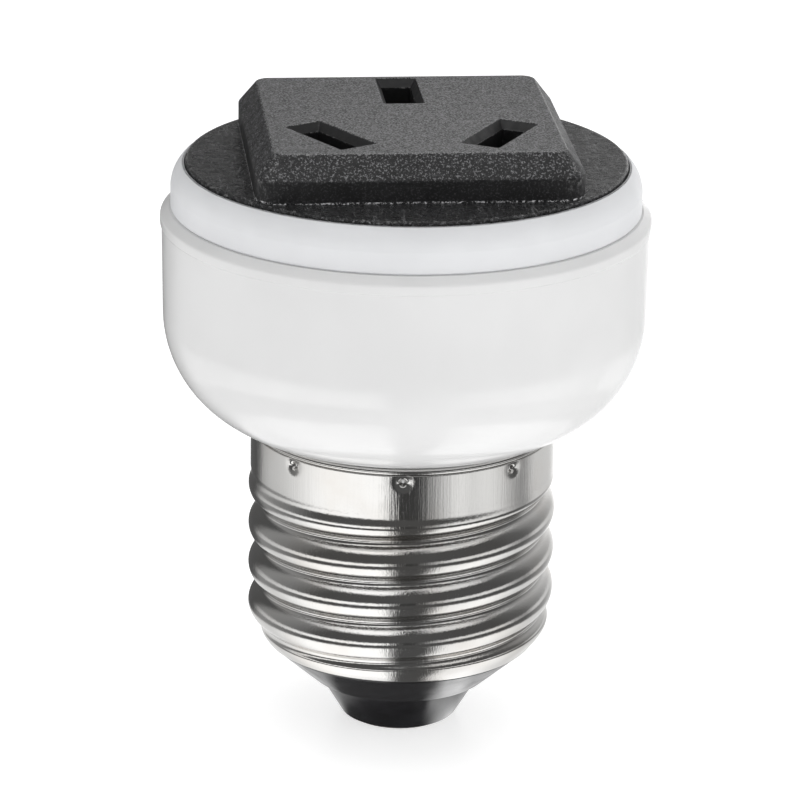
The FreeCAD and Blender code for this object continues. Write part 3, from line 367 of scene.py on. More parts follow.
def add_node(tree, inputs, kind, **settings):
    """Adds a node with its settings, values and links."""
    node = tree.nodes.new(kind)
    for name, setting in settings.items():
        setattr(node, name, setting)
    feed(tree, node, inputs)
    return node


def new_finish(name, kind="ShaderNodeBsdfPrincipled"):
    """An empty material, its tree and its surface shader."""
    material = bpy.data.materials.new(name)
    material.use_nodes = True
    tree = material.node_tree
    tree.nodes.clear()
    shader = add_node(tree, {}, kind)
    add_node(tree, {"Surface": shader}, "ShaderNodeOutputMaterial")
    return material, tree, shader


def pattern(tree, size, detail=2.0, rough=0.5, stretch=(1, 1, 1), distortion=0.0):
    """Noise on Object coordinates whose features are about size millimetres across."""
    place = add_node(tree, {}, "ShaderNodeTexCoord").outputs["Object"]
    scale = tuple(s / (size * MM) for s in stretch)
    mapped = add_node(tree, {"Vector": place, "Scale": scale}, "ShaderNodeMapping")
    noise = {"Vector": mapped, "Scale": 1.0, "Detail": detail, "Roughness": rough, "Distortion": distortion}
    return add_node(tree, noise, "ShaderNodeTexNoise")


def marks(tree, noise, *step):
    """A pattern, of the measures in noise, after a smooth step: from low to high, and onto which values."""
    return add_node(tree, [pattern(tree, *noise), *step], **STEP)


def bumped(tree, *layers):
    """The normal of bumps laid over each other, each a pattern and its height in millimetres."""
    under = {}
    for height, millimetres in layers:
        bump = {"Height": height, "Strength": 1.0, "Distance": millimetres * MM, **under}
        under = {"Normal": add_node(tree, bump, "ShaderNodeBump")}
    return under["Normal"]


def scaled(tint, share):
    """A colour times a share, or times one share each for red, green and blue."""
    return tuple((np.array(tint) * share).tolist())


def plastic_finish(name, tint, share, shade, rough, ior, bump, height):
    """A plastic whose colour drifts in clouds to a share of itself, under a patchy gloss and low bumps.

    shade and rough are what marks takes, bump is what pattern takes, and height is in millimetres.
    """
    material, tree, shader = new_finish(name)
    feed(tree, shader, {
        "Base Color": add_node(tree, [marks(tree, *shade), tint, scaled(tint, share)], **BLEND),
        "Roughness": marks(tree, *rough),
        "IOR": ior,
        "Normal": bumped(tree, (pattern(tree, *bump), height)),
    })
    return material


def gloss_abs_finish(tint):
    """Injection moulded ABS from a polished mould: an even white with a wet gloss and a slow ripple."""
    return plastic_finish(
        "moulded_abs_polished_white", tint, share=0.965, shade=([9.0], 0.3, 0.7),
        rough=([3.0], 0.35, 0.7, 0.1, 0.17), ior=ABS_IOR, bump=[5.0, 1.0], height=0.012,
    )


def satin_abs_finish(tint):
    """ABS from a spark-eroded mould: a soft sheen broken by a fine even grain."""
    # The real grain is about 0.03 mm, drawn at 0.16 mm so that a pixel or two can show it
    return plastic_finish(
        "moulded_abs_satin_white", tint, share=0.95, shade=([6.0], 0.3, 0.7),
        rough=([0.5], 0.3, 0.7, 0.32, 0.42), ior=ABS_IOR, bump=[0.16], height=0.003,
    )


def gloss_phenolic_finish(tint):
    """Black thermoset pressed in a polished mould: deep gloss with a few dull patches."""
    return plastic_finish(
        "moulded_phenolic_gloss_black", tint, share=1.7, shade=([1.5, 3.0], 0.35, 0.7),
        rough=([2.0, 2.0], 0.35, 0.7, 0.14, 0.26), ior=PHENOLIC_IOR, bump=[1.6, 2.0], height=0.01,
    )


def pvc_finish(name, tint):
    """Extruded PVC insulation: an even colour with a dull shine and faint die lines."""
    return plastic_finish(
        name, tint, share=0.85, shade=([1.2, 2.0], 0.35, 0.7), rough=([0.4], 0.3, 0.7, 0.34, 0.46),
        ior=PVC_IOR, bump=[0.3, 2.0, 0.5, (1, 1, 0.1)], height=0.004,
    )


def phenolic_finish(tint, flange_top, band_top, face_top):
    """Compression moulded phenolic: near black, filled with pale grains, scuffed, its edges rubbed.

    Over band_top the block is dull, and its pale grains are partly a painted sparkle: painted strong there,
    where light from above catches the slope and face, and faint on the band. Dust lies on its face, painted
    paler toward its front middle as a painted highlight. The flange, up to flange_top, has the mould's gloss,
    scratches and pits, and a dotted line of painted glints at the block's foot. The three heights are
    millimetres.
    """
    material, tree, shader = new_finish("moulded_phenolic_black")
    place = add_node(tree, {}, "ShaderNodeTexCoord").outputs["Object"]
    side, along, height = add_node(tree, [place], "ShaderNodeSeparateXYZ").outputs
    # Masks by height, each a smooth step from one height to another and from one value to another
    block, upper, face, flange, over_foot, under_foot = (
        add_node(tree, [height, low * MM, high * MM, below, above], **STEP)
        for low, high, below, above in (
            (flange_top + 0.03, flange_top + 0.2, 0.0, 1.0),
            (band_top - 0.2, band_top + 0.3, 0.2, 1.0),
            (face_top - 0.07, face_top - 0.01, 0.0, 1.0),
            (flange_top + 0.01, flange_top + 0.04, 0.8, 0.0),
            (flange_top + 0.004, flange_top + 0.02, 0.0, 1.0),
            (flange_top + 0.12, flange_top + 0.2, 1.0, 0.0),
        )
    )
    # The slots' walls, within 11.5 mm of the axis along both sides, have no pale grains, so none of the
    # painted sparkle
    side, along = (add_node(tree, [way], "ShaderNodeMath", operation="ABSOLUTE") for way in (side, along))
    reach = add_node(tree, [side, along], **LARGER)
    outer = add_node(tree, [reach, 11.5 * MM, 11.8 * MM], **STEP)
    upper = add_node(tree, [upper, add_node(tree, [outer, face], **LARGER)], **PRODUCT)
    # Filler grains of about 0.05 mm, drawn at 0.17 mm
    grains = pattern(tree, 0.17, 3.0, 0.7)
    # Pale filler grains, partly a painted sparkle: painted strong on the slope and face, where light from
    # above catches, and faint below
    grains_and_sparkle = add_node(tree, [add_node(tree, [grains, 0.54, 0.62], **STEP), upper], **PRODUCT)
    # Dust lies on the face, and is also a painted highlight: painted paler toward the face's front middle, 5
    # mm before the axis
    middle = (0.0, -5.0 * MM, face_top * MM)
    off = add_node(tree, [place, middle], "ShaderNodeVectorMath", operation="DISTANCE")
    dust_and_sheen = add_node(tree, [add_node(tree, [grains, 0.46, 0.56, 0.05, 1.0], **STEP), face], **PRODUCT)
    dust_and_sheen = add_node(tree, [dust_and_sheen, add_node(tree, [off, 3 * MM, 15 * MM, 1.0, 0.8], **STEP)], **PRODUCT)
    clouds = marks(tree, [2.6, 3.0], 0.35, 0.7)
    scuffs = marks(tree, [0.5, 4.0, 0.65, (0.16, 1.0, 1.0), 1.2], 0.62, 0.74)
    scratches = marks(tree, [0.4, 4.0, 0.7, (1.0, 0.14, 1.0), 1.5], 0.56, 0.66)
    scratches = add_node(tree, [scratches, flange], **PRODUCT)
    pits = add_node(tree, [marks(tree, [0.9, 5.0, 0.75], 0.42, 0.62), flange], **PRODUCT)
    # Painted glints: a dotted line of highlights painted pale into the colour at the block's foot
    foot = add_node(tree, [over_foot, under_foot], **PRODUCT)
    painted_glints = add_node(tree, [foot, marks(tree, [0.24, 3.0, 0.7], 0.48, 0.6)], **PRODUCT)
    # Edges are rubbed in chips, and each chip shows the grains
    worn = add_node(tree, {}, "ShaderNodeAttribute", attribute_name="worn").outputs["Fac"]
    rubbed = add_node(tree, [worn, marks(tree, [0.45, 4.0, 0.7], 0.5, 0.68)], **PRODUCT)
    rubbed = add_node(tree, [rubbed, add_node(tree, [grains, 0.4, 0.6, 0.3, 1.0], **STEP)], **PRODUCT)
    base = add_node(tree, [clouds, tint, scaled(tint, 1.5)], **BLEND)
    # Marks painted over the base colour. The sparkle grains, the dust's front paleness and the glints among
    # them are painted light
    for share, code in (
        (dust_and_sheen, "#868687"), (grains_and_sparkle, "#808082"), (scuffs, "#38383A"), (pits, "#29292B"),
        (scratches, "#88888A"), (painted_glints, "#D0D0D2"), (rubbed, "#8C8C8C"),
    ):
        base = add_node(tree, [share, base, linear(code)], **BLEND)
    # The block is rougher than the flange, and rubbed edges are smoother
    dull = marks(tree, [0.8, 3.0], 0.3, 0.7, 0.12, 0.28)
    duller = add_node(tree, [block, 0.0, 1.0, 0.06, 0.3], **STEP)
    rough = add_node(tree, [dull, duller], "ShaderNodeMath", operation="ADD")
    smoother = add_node(tree, [worn, 0.2, 1.0, 1.0, 0.45], **STEP)
    bumps = [(add_node(tree, [grains, upper], **PRODUCT), 0.04), (scratches, 0.03), (pits, 0.2)]
    feed(tree, shader, {
        "Base Color": base,
        "Roughness": add_node(tree, [rough, smoother], **PRODUCT),
        "IOR": PHENOLIC_IOR,
        "Normal": bumped(tree, *bumps, (pattern(tree, 0.6, 3.0, 0.6), 0.02)),
    })
    return material


def nickel_finish(tint):
    """Nickel plate on drawn brass sheet: a mirror with upright draw lines and patches of faint tarnish."""
    material, tree, shader = new_finish("drawn_sheet_nickel_plated")
    tarnish = marks(tree, [5.0, 3.0], 0.4, 0.75)
    # Draw lines of about 0.02 mm, drawn at 0.14 mm
    lines = pattern(tree, 0.14, 3.0, 0.65, (1.0, 1.0, 0.025))
    grain, ripple = pattern(tree, 0.17, 3.0, 0.6), pattern(tree, 3.0, 1.0)
    feed(tree, shader, {
        "Base Color": add_node(tree, [tarnish, tint, scaled(tint, (0.94, 0.92, 0.9))], **BLEND),
        "Metallic": 1.0,
        "Roughness": add_node(tree, [lines, 0.3, 0.75, 0.04, 0.12], **STEP),
        "Normal": bumped(tree, (lines, 0.012), (grain, 0.006), (ripple, 0.008)),
    })
    return material


def metal_finish(name, tint, size, low, high, stretch=(1, 1, 1), height=0.002):
    """A plain metal whose marks are size millimetres across, with its roughness between low and high."""
    material, tree, shader = new_finish(name)
    scores = pattern(tree, size, 3.0, 0.6, stretch)
    tarnish = marks(tree, [2.0, 2.0], 0.4, 0.7)
    feed(tree, shader, {
        "Base Color": add_node(tree, [tarnish, tint, scaled(tint, 0.8)], **BLEND),
        "Metallic": 1.0,
        "Roughness": add_node(tree, [scores, 0.3, 0.7, low, high], **STEP),
        "Normal": bumped(tree, (scores, height)),
    })
    return material


# The pieces

def turned_piece(name, node, corners, columns, finish):
    """A piece whose closed outline, its corners rounded, is turned round the axis."""
    profile, worn = outline(corners)
    skin = Skin()
    skin.rows(turned(profile, columns), worn, closed=True)
    skin.piece(name, [node], finish)


class MakeBowl(bpy.types.Operator):
    """The white bowl with its neck, rim bead, ledge and snap groove"""
    bl_idname = "adapter.make_bowl"
    bl_label = "Bowl"

    def execute(self, context):
        sizes = context.scene.adapter_bowl
        radius, foot, bead = in_mm(sizes, "radius foot_radius bead_radius")
        corner, wall, ledge = in_mm(sizes, "corner wall ledge")
        inside = foot - wall
        # The underside stands 66.2 degrees from the axis. The neck under it goes into the screw shell
        lean, floor_edge = math.radians(90 - 66.2), 27.55
        bore, neck, neck_foot, neck_top = 11.0, 12.5, 22.9, 27.05
        groove, groove_top, groove_foot = inside + 0.35, ledge - 2.4, ledge - 3.1
        start = foot - corner + corner * math.sin(lean)
        corner_top = floor_edge + corner * math.cos(lean)
        inner = corner - wall
        inner_start = foot - corner + inner * math.sin(lean)
        inner_floor = corner_top - inner * math.cos(lean)
        bead_top = ledge - 0.617
        finish = gloss_abs_finish(context.scene.adapter_finishes.bowl)
        turned_piece("bowl", "housing", [
            (bore, neck_foot, 0.1), (neck, neck_foot, 0.15),
            (neck, neck_top, 0.04), (neck + 0.5, neck_top, 0.06),
            (start, floor_edge, 0), (foot, floor_edge + (foot - start) * math.tan(lean), corner),
            (radius, bead_top - 0.863, 0.08), (bead, bead_top - 0.743, 0.08),
            (bead, bead_top, 0.35), (bead - 0.735, ledge, 0.05),
            (inside, ledge, 0.1), (inside, groove_top, 0.05),
            (groove, groove_top, 0.05), (groove, groove_foot, 0.05),
            (inside, groove_foot - 0.35, 0.05),
            (inside, inner_floor + (inside - inner_start) * math.tan(lean), inner),
            (inner_start, inner_floor, 0), (bore, 28.5, 0.2),
        ], 240, finish)
        return {"FINISHED"}


class MakeCollar(bpy.types.Operator):
    """The white ring with its rounded rim, the seat of the socket and the snap skirt"""
    bl_idname = "adapter.make_collar"
    bl_label = "Collar"

    def execute(self, context):
        radius, mouth, top, crease = in_mm(context.scene.adapter_collar, "radius mouth top crease")
        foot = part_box("housing")[1].z / MM
        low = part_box("collar")[0].z / MM
        # The snap skirt's two sides, the hook round it, and the seat of the socket's flange
        inside, skirt, hook, hook_top = 17.18, 18.38, 18.78, foot - 2.5
        seat, seat_top, seat_foot = 16.0, top - 1.5, top - 3.1
        finish = satin_abs_finish(context.scene.adapter_finishes.collar)
        turned_piece("rim_ring", "collar", [
            (inside, low, 0.15), (skirt, low, 0.15),
            (skirt, hook_top - 1.1, 0.05), (hook, hook_top - 0.7, 0.1),
            (hook, hook_top, 0.05), (skirt, hook_top, 0.05),
            (skirt, foot, 0.05), (radius - 0.18, foot, 0.04),
            (radius, foot + 0.18, 0.04), (radius, crease, 0.3),
            (radius - 0.225, crease + 1.277, 2.5), (mouth, top, 0.08),
            (mouth, seat_top, 0.04), (seat, seat_top, 0.1),
            (seat, seat_foot, 0.1), (inside, seat_foot, 0.1),
        ], 240, finish)
        return {"FINISHED"}


class MakeSocket(bpy.types.Operator):
    """The black moulding: flange, raised block, slots, contact chambers, screw bosses and hooks"""
    bl_idname = "adapter.make_socket"
    bl_label = "Socket"

    # Slots' places and turns, snap hooks' turns, screw bosses' places, and the flange's thickness
    poles = (((6.95, -6.3), -30.0), ((-6.95, -6.3), 30.0), ((0.0, 7.3), 0.0))
    hooks = (0.0, 90.0, 180.0, 270.0)
    bosses = ((-9.526, 5.5), (9.526, 5.5))
    thickness = 1.75

    def add_block(self, skin, sizes, flange_face):
        """The raised block: level square loops along a line of half width and height."""
        band, band_top, face, face_top = in_mm(sizes, "band band_top face face_top")
        line, worn = outline([
            (band + 0.08, flange_face, 0), (band, flange_face, 0.05),
            (band, band_top, 0.22), (face, face_top, 0.22),
            (face - 0.2, face_top, 0),
        ], closed=False)
        # The edge under the slope is hardly rubbed
        worn = np.where(np.abs(line[:, 1] - band_top) < 0.4, 0.2 * worn, worn)
        half = line[:, 0]
        # The corners' radius falls evenly from 2.2 mm at the band to 1.1 mm at the face
        corner = 2.2 - (band - half) * (1.1 / (band - face))
        # The four upright corners are rubbed too, most in the middle of each arc
        steps = 10
        across = np.tile(np.sin(np.linspace(0, math.pi, steps)) ** 2, 4)
        on_side = (line[:, 1] > flange_face + 0.3) & (line[:, 1] < face_top - 0.1)
        worn = np.maximum(worn[:, None], 0.7 * across * on_side[:, None])
        return skin.rows(rectangles(half, half, corner, line[:, 1], steps), worn)

    def add_slot(self, skin, sizes, place, turn, end, underside):
        """One slot with its chamber: rectangles from the face's edge in, down and out to the underside."""
        half_width, half_length = (size / 2 for size in in_mm(sizes, "slot_width slot_length"))
        lead_in, face_top = in_mm(sizes, "lead_in face_top")
        roof = face_top - 2.6
        line, worn = outline([
            (0.16, face_top, 0), (0.0, face_top, 0.1),
            (-lead_in, face_top - 0.75, 0.06), (-lead_in, roof + 0.1, 0),
        ], closed=False)
        # Half width, half length, corner and height of each loop, doubled where the chamber has a sharp edge
        inside, outside = (2.6, 4.8, 0.1), (3.6, 5.8, 0.2)
        corner = np.clip(0.2 + line[:, 0] * 0.5, 0.06, None)
        entry = np.stack([half_width + line[:, 0], half_length + line[:, 0], corner, line[:, 1]], -1)
        chamber = [
            (half_width - lead_in, half_length - lead_in, 0.06, roof),
            *((*inside, height) for height in (roof, roof - 0.1, end + 0.1, end)),
            *((*outside, height) for height in (end, end + 0.1, underside - 0.1, underside)),
        ]
        loops = rectangles(*np.concatenate([entry, chamber]).T, place=place, turn=math.radians(turn))
        return skin.rows(loops, np.concatenate([worn, np.zeros(len(chamber))]))

    def add_boss(self, skin, place, end, underside):
        """One screw boss: circles down its outside, over its end and up its pilot hole."""
        outside, hole, depth = 2.6, 1.25, 8.4
        line = np.array([
            (outside, underside), (outside, end + 0.1), (outside, end), (hole, end), (hole, end + depth),
        ])
        numbers = skin.rows(turned(line, 32) + np.array([*place, 0.0]))
        skin.cap(numbers[-1])
        return numbers[0]

    def add_hook(self, skin, turn, underside):
        """One snap hook: rectangles down its leg and round its nose."""
        inner, leg, nose, catch = 14.6, 15.7, 16.5, 46.52
        half_width, corner = 2.5, 0.05
        outer, height = np.array([
            (leg, underside), (leg, catch + 0.02), (leg, catch), (nose, catch), (nose, catch - 0.6),
            (leg, catch - 1.2),
        ]).T
        loops = rectangles((outer - inner) / 2, np.full(6, half_width), np.full(6, corner), height)
        loops[:, :, 0] += (inner + outer)[:, None] / 2
        numbers = skin.rows(spun(loops, math.radians(turn)))
        skin.cap(numbers[-1])
        return numbers[0]

    def execute(self, context):
        sizes = context.scene.adapter_socket
        flange, flange_face = in_mm(sizes, "flange flange_top")
        underside, end = flange_face - self.thickness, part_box("socket_insert")[0].z / MM
        line, worn = outline([
            (flange - 0.6, underside, 0), (flange, underside, 0.1),
            (flange, flange_face, 0.25), (flange - 0.29, flange_face, 0),
        ], closed=False)
        skin = Skin()
        rim = skin.rows(turned(line, 240), worn)
        block = self.add_block(skin, sizes, flange_face)
        slots = [self.add_slot(skin, sizes, place, turn, end, underside) for place, turn in self.poles]
        bosses = [self.add_boss(skin, place, end, underside) for place in self.bosses]
        hooks = [self.add_hook(skin, turn, underside) for turn in self.hooks]
        skin.level(rim[-1], [block[0]])
        skin.level(block[-1], [slot[0] for slot in slots])
        skin.level(rim[0], [slot[-1] for slot in slots] + bosses + hooks, flip=True)
        tint = context.scene.adapter_finishes.socket
        finish = phenolic_finish(tint, *in_mm(sizes, "flange_top band_top face_top"))
        skin.piece("socket_moulding", ["socket_insert"], finish)
        return {"FINISHED"}


class MakeShell(bpy.types.Operator):
    """The pressed and threaded shell with its ring of punch marks"""
    bl_idname = "adapter.make_shell"
    bl_label = "Screw shell"

    def radius(self, sizes, angles, heights, depth):
        """Radius of the sheet, depth millimetres in from its outside, on the grid of angles and heights.

        The thread is a wide crest arc and a tight root arc, tangent to each other where the sheet leans by t,
        with tan(t / 2) = 2 h / pitch for a thread of depth h. Their radii are share and 1 - share of
        pitch / (2 sin t). It eases into the skirt and into a foot, which an arc draws in by fall millimetres
        over a height of curl.
        """
        pitch, crest, drop, foot, start, skirt = in_mm(sizes, "pitch crest depth foot start skirt")
        lean = 2 * math.atan(2 * drop / pitch)
        whole = pitch / (2 * math.sin(lean))
        wide, tight = whole * sizes.share, whole * (1 - sizes.share)
        turns = (heights - start) / pitch - angles / (2 * math.pi)
        off = np.abs(turns - np.round(turns)) * pitch
        at_crest = crest - wide + np.sqrt(np.clip((wide - depth) ** 2 - off ** 2, 0, None))
        from_root = pitch / 2 - off
        at_root = crest - drop + tight - np.sqrt(np.clip((tight + depth) ** 2 - from_root ** 2, 0, None))
        wave = np.where(off <= (wide - depth) * math.sin(lean), at_crest, at_root)
        middle = crest - drop / 2 - depth
        curl, fall, foot_ease = 3.05, 1.0, 2.45
        skirt_foot, skirt_ease = 22.8, 1.5
        below = np.clip(foot + curl - heights, 0, curl)
        bend = (curl ** 2 + fall ** 2) / (2 * fall)
        lower = middle + (wave - middle) * ease((heights - foot) / foot_ease)
        lower -= bend - np.sqrt(bend ** 2 - below ** 2)
        return (skirt - depth) + (lower - (skirt - depth)) * ease((skirt_foot - heights) / skirt_ease)

    def punched(self, sizes, radius, angles, heights):
        """The skirt with its punch marks, each a shallow dent with a small sharp pit in it.

        At rho millimetres from a mark's centre the dent is 0.15 ease(1 - rho / 1.1) deep, and at sigma
        millimetres from the pit's centre the pit is 0.42 ease(1 - sigma / 0.45) deeper.
        """
        skirt, mark = in_mm(sizes, "skirt mark_height")
        gap = math.pi / 4
        off = (angles - sizes.dimple_start + gap / 2) % gap - gap / 2
        side, up = off * skirt, heights - mark
        dent = 0.15 * ease(1 - np.hypot(side, up - 0.1) / 1.1)
        pit = 0.42 * ease(1 - np.hypot(side + 0.06, up) / 0.45)
        return radius - dent - pit

    def rolled(self, sizes, radius, heights):
        """The shell's rim: a bead of half ellipse section, 0.27 mm proud of a groove that is 0.14 mm deep."""
        top, rim, skirt = in_mm(sizes, "top rim skirt")
        off = (heights - (top - rim / 2)) / (rim / 2)
        bead = skirt - 0.14 + 0.27 * np.sqrt(np.clip(1 - off ** 2, 0, None))
        groove = radius - 0.14 * ease((heights - (top - rim - 0.09)) / 0.09)
        return np.where(heights > top - rim, bead, groove)

    def execute(self, context):
        sizes = context.scene.adapter_cap
        foot, top, wall, mark, rim = in_mm(sizes, "foot top wall mark_height rim")
        # Columns stand closer together at the eight punch marks: angle = a - 0.7 sin(8 (a - first)) / 8
        even = np.arange(360) * (2 * math.pi / 360)
        angles = even - 0.7 * np.sin(8 * (even - sizes.dimple_start)) / 8
        thread_top, lip, groove = 22.9, foot + 0.06, top - rim
        bead = groove + rim / 2 * (1 + np.cos(np.linspace(0, math.pi, 15)))
        outside = np.concatenate([
            bead,
            np.linspace(groove - 0.02, groove - 0.1, 4, endpoint=False),
            np.linspace(groove - 0.1, mark - 0.45, 20, endpoint=False),
            np.linspace(mark - 0.45, thread_top, 16, endpoint=False),
            np.linspace(thread_top, lip, 134),
        ])
        inside = np.concatenate([
            np.linspace(lip, thread_top, 46, endpoint=False), np.linspace(thread_top, top, 16),
        ])
        heights = np.concatenate([outside, [foot, foot], inside])
        depth = np.concatenate([np.zeros(len(outside)), [0.06, wall - 0.06], np.full(len(inside), wall)])
        z, d = heights[:, None], depth[:, None]
        radius = self.radius(sizes, angles, z, d)
        radius = self.punched(sizes, radius, angles, z)
        radius[:len(outside)] = self.rolled(sizes, radius[:len(outside)], z[:len(outside)])
        skin = Skin()
        grid = np.stack([radius * np.cos(angles), radius * np.sin(angles), z + 0 * angles], -1)
        skin.rows(grid, (heights <= lip).astype(float), closed=True)
        finish = nickel_finish(context.scene.adapter_finishes.nickel)
        skin.piece("pressed_shell", ["screw_shell"], finish)
        return {"FINISHED"}


class MakeInsulator(bpy.types.Operator):
    """The black insulator in the shell's foot and the centre contact under it"""
    bl_idname = "adapter.make_insulator"
    bl_label = "Insulator and centre contact"

    def execute(self, context):
        finishes = context.scene.adapter_finishes
        low, high = (corner.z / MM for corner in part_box("base_insulator"))
        # A boss under a cone, the cone's rim at the shell's foot, and a wall inside the shell
        hole, boss_top, rim, floor = 1.55, 3.95, 7.35, low + 2.4
        wall, wall_inside = 11.17, 9.67
        turned_piece("cap_insulator", "base_insulator", [
            (hole, low, 0.04), (4.95, low, 0.3),
            (7.15, boss_top, 0.12), (7.8, boss_top, 0.12),
            (11.6, rim, 0.08), (wall, rim, 0.04),
            (wall, high, 0.1), (wall_inside, high, 0.1),
            (wall_inside, rim, 0.4), (4.5, floor, 0.4),
            (hole, floor, 0.05),
        ], 160, gloss_phenolic_finish(finishes.insulator))

        # A disc and a shank with a hollow end, with a small flat cap on the axis at both ends
        disc, shank_top = (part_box("centre_contact")[1][axis] / MM for axis in (0, 2))
        shank, hollow, hollow_foot, tip = 1.5, 0.6, shank_top - 1.6, 0.05
        profile, worn = outline([
            (tip, 0.0, 0), (disc, 0.0, 0.12),
            (disc, low, 0.04), (shank, low, 0.04),
            (shank, shank_top, 0.1), (hollow, shank_top, 0.05),
            (hollow, hollow_foot, 0.05), (tip, hollow_foot, 0),
        ], closed=False)
        skin = Skin()
        rivet = skin.rows(turned(profile, 96), worn)
        skin.cap(rivet[0], flip=True)
        skin.cap(rivet[-1])
        finish = metal_finish("stamped_brass_tinned", finishes.tin, 0.3, 0.2, 0.4, height=0.003)
        skin.piece("centre_rivet", ["centre_contact"], finish)
        return {"FINISHED"}


class DressInside(bpy.types.Operator):
    """The finishes of the contacts, plate, screws, leads and solder, whose CAD shapes stay"""
    bl_idname = "adapter.dress_inside"
    bl_label = "Inside"

    def execute(self, context):
        tints = context.scene.adapter_finishes
        finishes = {
            ("live_contact", "neutral_contact", "earth_contact"):
                metal_finish("rolled_brass_sheet", tints.brass, 0.2, 0.18, 0.34, (1, 1, 0.05)),
            ("plate_screw_1", "plate_screw_2"):
                metal_finish("turned_steel_zinc_plated", tints.zinc, 0.25, 0.2, 0.36),
            ("live_wire", "neutral_wire"):
                metal_finish("drawn_copper_wire", tints.copper, 0.15, 0.2, 0.35, (1, 1, 0.1)),
            ("live_solder", "neutral_solder", "centre_solder", "shell_solder"):
                metal_finish("soft_solder", tints.solder, 0.5, 0.16, 0.4, height=0.02),
            ("live_sleeve",): pvc_finish("extruded_pvc_red", tints.live),
            ("neutral_sleeve",): pvc_finish("extruded_pvc_blue", tints.neutral),
            ("retainer_plate",): gloss_phenolic_finish(tints.insulator),
        }
        for nodes, finish in finishes.items():
            for node in nodes:
                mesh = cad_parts[node].data
                mesh.materials.clear()
                mesh.materials.append(finish)
        return {"FINISHED"}


